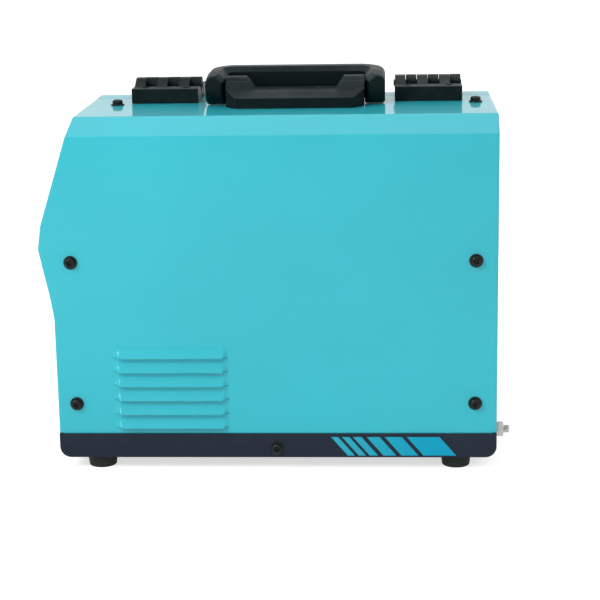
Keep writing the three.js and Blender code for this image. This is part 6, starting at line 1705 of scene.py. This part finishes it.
# ---- Wire compartment ---------------------------------------------------------------------------
@dataclass
class WireDrive:
    """Feeder plate with its guides and pins, gear motor, grooved rolls, pressure arm and tension screw.

    The wire runs along x at (wire_y, wire_z), between the two rolls.
    """

    plate: tuple = ((-170.0, -70.0), (9.8, 19.8), (47.32, 143.32))
    wire_y: float = 32.0
    wire_z: float = 103.0
    roll_x: float = -120.0
    roll: float = 15.0
    roll_width: float = 14.0
    groove: float = 1.2
    gap: float = 1.0
    motor: float = 27.0
    motor_back: float = -64.5
    arm_pivot: Pair = (-155.0, 120.0)
    arm_width: float = 24.0
    swing: Pair = (-86.0, 77.0)
    lean: float = 70.0
    knob: float = 9.0

    @property
    def drive_z(self) -> float:
        """Height of the drive roll's axis."""
        return self.wire_z - self.gap / 2 - self.roll

    @property
    def pressure_z(self) -> float:
        """Height of the pressure roll's axis."""
        return self.wire_z + self.gap / 2 + self.roll

    def feeder(self) -> list[Piece]:
        """Plate with counterbored screws, two guide blocks with the wire's bore, and the two pins."""
        (x0, x1), (y0, y1), (z0, z1) = self.plate
        drive = (self.roll_x, 0, self.drive_z)
        spots = [(x, 0, z) for x in (x0 + 9, x1 - 9) for z in (z0 + 9, z1 - 9)]
        outline = rounded([(x0, z0, 8), (x1, z0, 8), (x1, z1, 8), (x0, z1, 8)], 6)
        rib = prism(rounded([(x0 + 6, z0 + 20, 3), (x1 - 6, z0 + 20, 3), (x1 - 6, z0 + 26, 3),
            (x0 + 6, z0 + 26, 3)], 4), (y1 - 2, y1 + 1), "y")
        screw = rounded([(0, y1 - 3.2), (2.3, y1 - 3.2), (2.3, y1 - 0.4), (4.8, y1 - 0.4, 0.5),
            (4.8, y1 - 5), (0, y1 - 5)], 4, False)
        guides = [((x0, self.roll_x - self.roll - 4), []),
            ((self.roll_x + self.roll - 1, self.roll_x + self.roll + 12),
            [rod(self.roll + 1.5, (y1 - 3, 60), "y", drive)])]
        bore = rod(1.5, (x0 - 1, x1 + 1), "x", (0, self.wire_y, self.wire_z), 16)
        made = [Piece("feeder_plate", ALUMINIUM, prism(outline, (y0, y1), "y"), bevel=0.8,
            cuts=[rod(9, (0, 30), "y", drive), *[rod(5.2, (y1 - 5, y1 + 2), "y", spot) for spot in spots]]),
            Piece("feeder_plate", ALUMINIUM, rib, bevel=0.8, label="feeder_rib", hides=False),
            Piece("feeder_plate", BLACK_SCREW, joined([revolved(screw, "y", spot, 32) for spot in spots]),
            label="feeder_screws", hides=False)]
        for name, (span, more) in zip(("exit", "entry"), guides):
            low, high = self.wire_z - 8, self.wire_z + 6
            outline = rounded([(span[0], low, 2), (span[1], low, 2), (span[1], high, 2),
                (span[0], high, 2)], 4)
            made.append(Piece("feeder_plate", ALUMINIUM, prism(outline, (y1 - 1, self.wire_y + 8), "y"),
                bevel=0.6,
                label=f"{name}_guide", hides=False, cuts=[bore, *more]))
        pins = []
        for (x, z), radius, end in ((self.arm_pivot, 4, self.wire_y + self.arm_width / 2 + 3),
                (self.swing, 3, self.wire_y + 9)):
            profile = rounded([(0, y1 - 1), (radius, y1 - 1), (radius, end - 2.2), (radius - 0.7, end - 2.2),
                (radius - 0.7, end - 1.2), (radius, end - 1.2), (radius, end, 0.6), (0, end)], 3, False)
            clip = [(radius - 0.8, end - 2.1), (radius + 1.6, end - 2.1), (radius + 1.6, end - 1.3),
                (radius - 0.8, end - 1.3)]
            pins += [revolved(profile, "y", (x, 0, z), 32), revolved(clip, "y", (x, 0, z), 32, hollow=True)]
        return made + [Piece("feeder_plate", ZINC, joined(pins), label="feeder_pins", hides=False)]

    def gear_motor(self) -> Shell:
        """Motor can with its end cap and gear joint, and the output shaft, turned about y."""
        r, b, y = self.motor, self.motor_back, self.plate[1][0] - SEAT
        can = rounded([(0, b), (9, b, 1), (9, b + 4), (r - 3, b + 4, 1.5), (r, b + 7, 1.5),
            (r, b + 44, 0.4), (r - 2, b + 45), (r - 2, b + 47), (r, b + 48, 0.4), (r, y, 0.5),
            (0, y)], 5, closed=False)
        end = self.wire_y + self.roll_width / 2 + 3
        shaft = rounded([(0, y - 1), (5, y - 1), (5, end, 0.8), (0, end)], 4, closed=False)
        place = (self.roll_x, 0, self.drive_z)
        return joined([revolved(can, "y", place, 72), revolved(shaft, "y", place, 40)])

    def rim(self) -> list[tuple]:
        """Roll's rim as a profile across its width: rounded shoulders and a groove for the wire."""
        r, half, groove = self.roll, self.roll_width / 2, self.groove
        return [(r - 1, -half, 0.4), (r, -half + 1, 0.5), (r, -groove, 0.2), (r - groove, 0, 0.3),
            (r, groove, 0.2), (r, half - 1, 0.5), (r - 1, half, 0.4)]

    def rolls(self) -> list[Piece]:
        """Drive roll with three pin holes, and pressure roll with its axle."""
        half, end = self.roll_width / 2, self.arm_width / 2 - 0.5
        drive = rounded([(5.3, -half), *self.rim(), (10.8, half, 0.3), (10.2, half - 1, 0.3),
            (8.2, half - 1, 0.3), (7.6, half, 0.3), (5.3, half, 0.3)], 4)
        at = (self.roll_x, self.wire_y, self.drive_z)
        pins = [rod(1.8, (-20, 20), "y", (at[0] + 9.6 * math.cos(a), at[1], at[2] + 9.6 * math.sin(a)), 20)
            for a in 0.4 + np.arange(3) * FULL_TURN / 3]
        profile = rounded([(0, -end), (4, -end, 0.5), (4, -half), *self.rim(), (9, half, 0.3),
            (8.5, half - 0.8), (4, half - 0.8), (4, end, 0.5), (0, end)], 4, closed=False)
        return [Piece("drive_roll", ZINC, revolved(drive, "y", at, 72, hollow=True), crease=40, cuts=pins),
            Piece("pressure_roll", ZINC, revolved(profile, "y", (at[0], at[1], self.pressure_z), 72),
            crease=40)]

    def arm(self) -> Piece:
        """Pressure arm: one rounded outline, cut out over the roll, at both holes and at the fork."""
        (px, pz), rx, high, wire = self.arm_pivot, self.roll_x, self.pressure_z, self.wire_z
        tip = self.swing[0] + 9
        outline = rounded([(px - 9, pz - 8, 7), (px + 8, pz - 8, 3), (rx - 12, wire + 11, 6),
            (rx + 14, wire + 9, 6), (tip, high - 4, 3), (tip, high + 8, 4),
            (self.swing[0] - 13, high + 8, 4), (rx + 12, high + 20, 8), (rx - 14, high + 18, 8),
            (px - 9, pz + 9, 7)], 6)
        inner = (self.wire_y - self.roll_width / 2 - 1, self.wire_y + self.roll_width / 2 + 1)
        reach = self.roll + 1.5
        fork_x, fork_y = self.swing[0], self.wire_y
        cuts = [rod(reach, inner, "y", (rx, 0, high), 56), block((rx - reach, rx + reach), inner,
            (wire - 10, high)),
            rod(4 + RUN, (0, 70), "y", (rx, 0, high)), rod(4 + RUN, (0, 70), "y", (px, 0, pz)),
            block((fork_x - 5, tip + 9), (fork_y - 5, fork_y + 5), (wire, high + 40))]
        span = (self.wire_y - self.arm_width / 2 + 1.5, self.wire_y + self.arm_width / 2)
        return Piece("pressure_arm", GREY_PLASTIC, prism(outline, span, "y"), bevel=0.8, cuts=cuts)

    def screw(self) -> list[Piece]:
        """Tension screw: an eye on its pin, a threaded rod, and a fluted knob with scale grooves."""
        h, r = self.pressure_z + 9 - self.swing[1], self.knob
        basis = turning("y", math.radians(self.lean))
        at = (self.swing[0], self.wire_y, self.swing[1])
        section = rounded([(3.3, -5), (6.5, -5, 0.6), (6.5, 5, 0.6), (3.3, 5)], 4)
        ring = revolved(section, "y", turns=48, hollow=True)
        run = resampled(np.array([(0.0, 5.2), (3, 5.2), (3, h + 2), (0, h + 2)]), 0.25)
        stem = revolved(run, turns=40, shaping=threaded(1.0, 0.5, 22, h + 1.5, 2.5))
        scale = [point for k in (1.2, 2.4) for point in ((8, h + k - 0.2), (7.7, h + k), (8, h + k + 0.2))]
        knob = rounded([(0, h), (8, h, 0.3), *scale, (8, h + 4, 0.8), (6, h + 6, 0.8), (r, h + 9, 1),
            (r, h + 22, 1.5), (6.5, h + 26, 1), (0, h + 26)], 4, closed=False)
        grip = revolved(knob, turns=96, shaping=fluted(12, 0.9, h + 7.5, h + 24, 6.4))
        return [Piece("tension_screw", BLACK_PLASTIC, grip.turned(basis, at), crease=45),
            Piece("tension_screw", ZINC, joined([ring, stem]).turned(basis, at), crease=40,
            label="tension_rod", hides=False)]

    def pieces(self) -> list[Piece]:
        """The whole drive."""
        return [*self.feeder(), Piece("feed_motor", MOTOR_STEEL, self.gear_motor(), crease=40),
            *self.rolls(), self.arm(), *self.screw()]


@dataclass
class SpoolHolder:
    """Axle bolted through the divider, ribbed hub that turns on it, and the nut that holds it."""

    centre: Pair = (96.0, 171.0)
    seat: float = 9.8
    spindle: float = 9.0
    hub: float = 25.0
    length: float = 54.0

    def axle(self) -> Shell:
        """Stepped axle: bolt end with its head, flange, bearing length and a threaded end, turned about y."""
        at, r = (self.centre[0], 0, self.centre[1]), self.spindle
        shoulder = self.seat + 5
        far = shoulder + SEAT + self.length + 1
        run = rounded([(0, 0), (4, 0), (4, self.seat), (18, self.seat, 0.6), (18, shoulder, 0.8),
            (r, shoulder), (r, far, 0.8), (5, far), (5, far + 13, 0.8), (0, far + 13)], 4, closed=False)
        bolt = revolved(resampled(run, 0.35), "y", at, 56, threaded(1.5, 0.6, far + 0.6, far + 12.6, 4.3))
        return joined([bolt, chamfered_nut(13, 1.5, 7.7, 0.0).turned(*standing((0, 1, 0), at))])

    def hub_shell(self) -> Shell:
        """Hub: flange, outer wall and bearing sleeve as one turned ring, six ribs and the drive pin."""
        wall, r, end = self.spindle + RUN, self.hub, self.length
        ring = rounded([(wall, 0), (r + 8, 0, 0.8), (r + 8, 3, 0.8), (r, 3, 1.5), (r, end - 5, 1.5),
            (r - 2, end, 0.8), (r - 5, end, 0.5), (r - 5, 8, 1), (wall + 3, 8, 1), (wall + 3, end, 0.5),
            (wall, end, 0.5)], 4)
        ribs = []
        for turn in np.arange(6) * math.pi / 3:
            rib = block((wall + 1.5, r - 3.5), (6, end - 6), (-1, 1))
            ribs.append(rib.turned(turning("y", turn), (0, 0, 0)))
        pin = revolved(rounded([(0, 2), (4, 2), (4, 18, 1.5), (0, 18)], 4, False), "y", (r + 2.5, 0, 0), 32)
        return joined([revolved(ring, "y", turns=96, hollow=True), *ribs, pin])

    def pieces(self) -> list[Piece]:
        """Axle, hub and nut."""
        x, z = self.centre
        start = self.seat + 5 + SEAT
        nut_at = (x, start + self.length + 1 + SEAT, z)
        nut = rounded([(0, 0), (15, 0, 0.6), (15, 3, 1), (11, 5, 1.5), (11, 12, 0.6),
            (9, 15, 1), (0, 15)], 4, False)
        grips = [rod(2.4, (3.2, 20), "y", (x + 11.5 * math.cos(a), nut_at[1], z + 11.5 * math.sin(a)), 24)
            for a in np.arange(6) * math.pi / 3]
        return [Piece("spool_axle", ZINC, self.axle(), crease=40),
            Piece("spool_hub", GREY_PLASTIC, self.hub_shell().moved((x, start, z)), bevel=0.25, crease=40),
            Piece("hub_nut", BLACK_PLASTIC, revolved(nut, "y", nut_at, 72), bevel=0.3,
            cuts=[rod(5.3, (-1, 13.3), "y", nut_at), *grips])]


# ---- Electrics ----------------------------------------------------------------------------------
@dataclass
class WoundCore:
    """Laminated core on two feet with a wire coil round its middle leg."""

    node: str
    centre_x: float
    scale: float
    centre_y: float = -50.0
    base: float = 14.8
    wire: float = 1.15

    def pieces(self) -> list[Piece]:
        """Core with two windows, feet, and the coil as one wire; l and w are half sizes and h the height."""
        x, y, base = self.centre_x, self.centre_y, self.base
        l, w, h = 48 * self.scale, 20 * self.scale, 84 * self.scale
        leg, wire = l / 3, self.wire
        low, high = base + 6 + leg, base + h - leg - 2
        yoke = block((x - l, x + l), (y - w, y + w), (base + 4, base + h))
        windows = [block((x + side * l / 2 - leg / 2, x + side * l / 2 + leg / 2), (y - w - 5, y + w + 5),
            (base + 4 + leg, base + h - leg)) for side in (-1, 1)]
        feet = [block((x + side * (l - 5) - 8, x + side * (l - 5) + 8), (y - w - 6, y + w + 6),
            (base, base + 5))
            for side in (-1, 1)]
        half_x, half_y = l * 0.66 - wire, w + leg * 0.8 - wire
        paper = prism(rectangle(2 * half_x, 2 * half_y, 8), (low, high), at=(x, y, 0))
        turns = round((high - low) / (2.05 * wire)) - 1
        ring = rectangle(2 * half_x, 2 * half_y, 8, 5)
        lap = np.arange(turns * len(ring) + 1)
        spots = ring[lap % len(ring)] + (x, y)
        path = np.concatenate([spots, (low + wire + (high - low - 2 * wire) * lap / lap[-1])[:, None]], 1)
        return [Piece(self.node, LAMINATED, yoke, bevel=0.5, cuts=windows),
            Piece(self.node, CHASSIS_ZINC, joined(feet), bevel=0.6, label=f"{self.node}_feet", hides=False),
            Piece(self.node, GREY_PLASTIC, paper, bevel=0.5, label=f"{self.node}_paper", hides=False),
            Piece(self.node, COPPER, tube(path, wire, (0, 0, 1), 8), label=f"{self.node}_coil", hides=False)]


@dataclass
class PowerBoard:
    """Finned heat sink on the divider's near side and the circuit board in front of its fins."""

    x: Pair = (-115.0, 75.0)
    back: float = 7.7
    low: float = 163.0
    height: float = 118.0
    fins: int = 9
    reach: float = 40.0
    post: float = 10.0
    middle: float = -20.0

    def heat_sink(self) -> Shell:
        """Extrusion: one comb outline of back plate and fins, carried along x."""
        back, front, low = self.back, self.back - self.reach, self.low
        outline = [(back, low), (back, low + self.height)]
        for number in range(self.fins)[::-1]:
            z = low + 1 + (self.height - 5) * number / (self.fins - 1)
            outline += [(back - 6, z + 3), (front, z + 3, 0.9), (front, z, 0.9), (back - 6, z)]
        comb = rounded([*outline[:2], (back - 6, low + self.height), *outline[2:], (back - 6, low)], 3)
        return prism(comb[::-1], self.x, "x")

    def posts(self) -> Shell:
        """Four posts from the outer fins to the board."""
        front = self.back - self.reach
        ends = [self.middle + side * ((self.x[1] - self.x[0]) / 2 - 12) for side in (-1, 1)]
        heights = [self.low + 1, self.low + self.height - 4]
        return joined([block((x - 4, x + 4), (front - self.post, front + 1),
            (z, z + 3)) for x in ends for z in heights])

    def board(self) -> list[Piece]:
        """Board, three capacitors, a wound ferrite block, a row of power transistors and small parts."""
        face = self.back - self.reach - self.post - SEAT
        low, mid = self.low, self.middle
        sheet = block(self.x, (face - 1.6, face), (low - 8, low + self.height + 8))
        can = rounded([(0, -1), (12, -1), (12, -3.5, 0.5), (11.2, -4.2, 0.4), (12, -5, 0.5), (12, -32, 1.5),
            (10.4, -32), (10.4, -31.6), (0, -31.6)], 4, closed=False)
        cans = [revolved(can, "y", (mid + dx, face, low + 40), 48) for dx in (-60, -25, 10)]
        tops = [rod(10.3, (face - 31.9, face - 31.4), "y", (mid + dx, 0, low + 40)) for dx in (-60, -25, 10)]
        core = block((mid + 34, mid + 80), (face - 22, face - 1), (low + 14, low + 22))
        cores = joined([core, core.moved((0, 0, 34)), block((mid + 50, mid + 64), (face - 20, face - 3),
            (low + 20, low + 50))])
        coil = tube(helix(1.0, 1.6, 16, "z", (0, 0, 0)) * (8.8, 9.2, 1) + (mid + 57, face - 11.5,
            low + 22.5), 0.8, (0, 0, 1), 8)
        chips = [block((x, x + 12), (face - 9, face - 1), (low + 84, low + 100)) for x in spaced(mid - 70,
            mid + 48, 14.75)]
        small = [block((x, x + 5), (face - 3.4, face - 1), (z, z + 2.6))
            for x in spaced(mid - 84, mid + 20, 11) for z in (low + 2, low + 8, low + 66)]
        return [Piece("circuit_board", BOARD, sheet, bevel=0.2),
            Piece("circuit_board", SLEEVE, joined(cans), label="capacitors", hides=False),
            Piece("circuit_board", ALUMINIUM, joined(tops), label="capacitor_tops", hides=False),
            Piece("circuit_board", FERRITE, cores, bevel=0.4, label="ferrite_core", hides=False),
            Piece("circuit_board", COPPER, coil, label="ferrite_coil", hides=False),
            Piece("circuit_board", FERRITE, joined([*chips, *small]), bevel=0.2, label="board_parts",
            hides=False)]

    def pieces(self) -> list[Piece]:
        """Heat sink and board."""
        return [Piece("heat_sink", ALUMINIUM, self.heat_sink(), crease=30),
            Piece("heat_sink", ALUMINIUM, self.posts(), bevel=0.3, label="heat_sink_posts", hides=False),
            *self.board()]


# ---- Studio -------------------------------------------------------------------------------------
@dataclass
class Studio:
    """Camera at the photograph's angle, pale floor, white surroundings and soft lamps."""

    place: tuple[float, float, float] = (113.5, -1755.6, 578.4)
    yaw: float = -0.0534
    pitch: float = 0.23991
    roll: float = -0.01667
    focal: float = 1741.75
    frame_side: float = 600.0
    sensor: float = 36.0
    floor_side: float = 40.0
    floor_glow: float = 0.64
    ambient: float = 0.6

    def camera(self) -> None:
        """Makes the camera: its forward axis from yaw and pitch, then its roll about that axis."""
        yaw, pitch, roll = self.yaw, self.pitch, self.roll
        forward = np.array([math.sin(yaw) * math.cos(pitch), math.cos(yaw) * math.cos(pitch),
            -math.sin(pitch)])
        level = np.array([math.cos(yaw), -math.sin(yaw), 0])
        upward = np.cross(level, forward)
        right = math.cos(roll) * level + math.sin(roll) * upward
        up = -math.sin(roll) * level + math.cos(roll) * upward
        data = bpy.data.cameras.new("camera")
        data.sensor_width, data.lens = self.sensor, self.sensor * self.focal / self.frame_side
        data.clip_start, data.clip_end = 0.05, 200
        made = placed("camera", data)
        posed(made, (right, up, -forward), np.array(self.place) * MM)
        bpy.context.scene.camera = made

    def seen_directly(self, wiring: Wiring) -> Socket:
        """1 for rays that show the background: camera, glossy and transmission rays."""
        path = wiring.node("LightPath").outputs
        seen = wiring.math("MAXIMUM", path["Is Camera Ray"], path["Is Glossy Ray"])
        return wiring.math("MAXIMUM", seen, path["Is Transmission Ray"])

    def world(self) -> None:
        """White world: plain soft light on the object, pure white where it is seen or mirrored."""
        world = bpy.data.worlds.new("surroundings")
        world.use_nodes = True
        bpy.context.scene.world = world
        wiring = Wiring(world.node_tree)
        lit = wiring.node("Background", {"Color": (1.0, 1.0, 1.0), "Strength": self.ambient})
        shown = wiring.node("Background", {"Color": (1.0, 1.0, 1.0), "Strength": 1.0})
        mixed = wiring.node("MixShader", {0: self.seen_directly(wiring), 1: lit.outputs[0],
            2: shown.outputs[0]})
        out = wiring.node("OutputWorld")
        wiring.put(out.inputs[0], mixed.outputs[0])

    def floor(self) -> None:
        """Pale floor that keeps the shadow, with a little glow that only the view sees."""
        side = self.floor_side / MM / 2
        shell = Shell(np.array([(-side, -side, 0), (side, -side, 0), (side, side, 0), (-side, side, 0)]),
            [[0, 1, 2, 3]])
        mesh = mesh_of("floor", shell, False, 30)
        made = placed("floor", mesh)
        paint = bpy.data.materials.new("floor_paint")
        paint.use_nodes = True
        wiring = Wiring(paint.node_tree)
        matt = wiring.node("BsdfDiffuse", {"Color": (0.86, 0.86, 0.86)})
        glow = wiring.node("Emission", {"Color": (1.0, 1.0, 1.0),
            "Strength": wiring.math("MULTIPLY", self.seen_directly(wiring), self.floor_glow)})
        both = wiring.node("AddShader", {0: matt.outputs[0], 1: glow.outputs[0]})
        out = wiring.node("OutputMaterial")
        wiring.put(out.inputs[0], both.outputs[0])
        mesh.materials.append(paint)

    def lamp(self, name: str, place: Floats, aim: Floats, size: float, power: float,
            mirrored: bool = False, lighting: bool = True) -> None:
        """Square area lamp that looks from its place to its aim, both in metres.

        Gloss mirrors a mirrored one, and one that isn't lighting only shows as a soft highlight.
        """
        data = bpy.data.lights.new(name, "AREA")
        data.size, data.energy = size, power
        made = placed(name, data)
        made.visible_glossy = mirrored
        made.visible_diffuse = lighting
        back = unit(np.array(place, float) - np.array(aim, float))
        level = unit(np.cross((0, 0, 1) if abs(back[2]) < 0.99 else (0, 1, 0), back))
        posed(made, (level, np.cross(back, level), back), place)

    def build(self) -> None:
        """Makes the whole studio and sets how colours are shown."""
        self.camera()
        self.world()
        self.floor()
        self.lamp("key", (-1.1, -1.35, 1.3), (0, 0, 0.2), 0.7, 16.5, True)
        self.lamp("ceiling_card", (0.3, -0.2, 2.4), (0, 0, 0.2), 2.2, 20, True, False)
        self.lamp("rear_fill", (1.4, 2.2, 1.4), (0, 0, 0.2), 1.6, 14)
        bpy.context.scene.view_settings.view_transform = "Standard"


# ---- Assembly -----------------------------------------------------------------------------------
@dataclass
class CopiedPieces:
    """Pieces whose frame shape is right: a copy of each, with softened edges."""

    softened: dict[str, tuple[Finish, float]] = field(default_factory=dict)

    def pieces(self) -> list[Piece]:
        """A softened copy of every node in the table."""
        return [Piece(node, finish, bevel=bevel) for node, (finish, bevel) in self.softened.items()]


def main() -> None:
    """Builds the studio and every sub-assembly in order."""
    logging.basicConfig(level=logging.INFO, format="%(message)s")
    Studio().build()
    by_slot = {finish.slot: finish for finish in FINISHES}
    assemblies = [CaseShell(), CoverScrews(), BlockHinge("front"), BlockHinge("rear"), CarryHandle(),
        ControlFace(), FrontSockets(), RearFittings(), DoorLatch("front"), DoorLatch("rear"),
        WireDrive(), SpoolHolder(), WoundCore("transformer", 92.0, 1.0),
        WoundCore("output_choke", -34.0, 0.72), PowerBoard()]
    made = {piece.node for assembly in assemblies for piece in assembly.pieces()}
    rest = {row["node"]: (by_slot[row["material_slot"]],
        0.4) for row in frame["record"]["subparts"] if row["node"] not in made}
    assemblies.append(CopiedPieces(rest))
    for assembly in assemblies:
        for piece in assembly.pieces():
            piece.build()


if __name__ == "__main__":
    main()
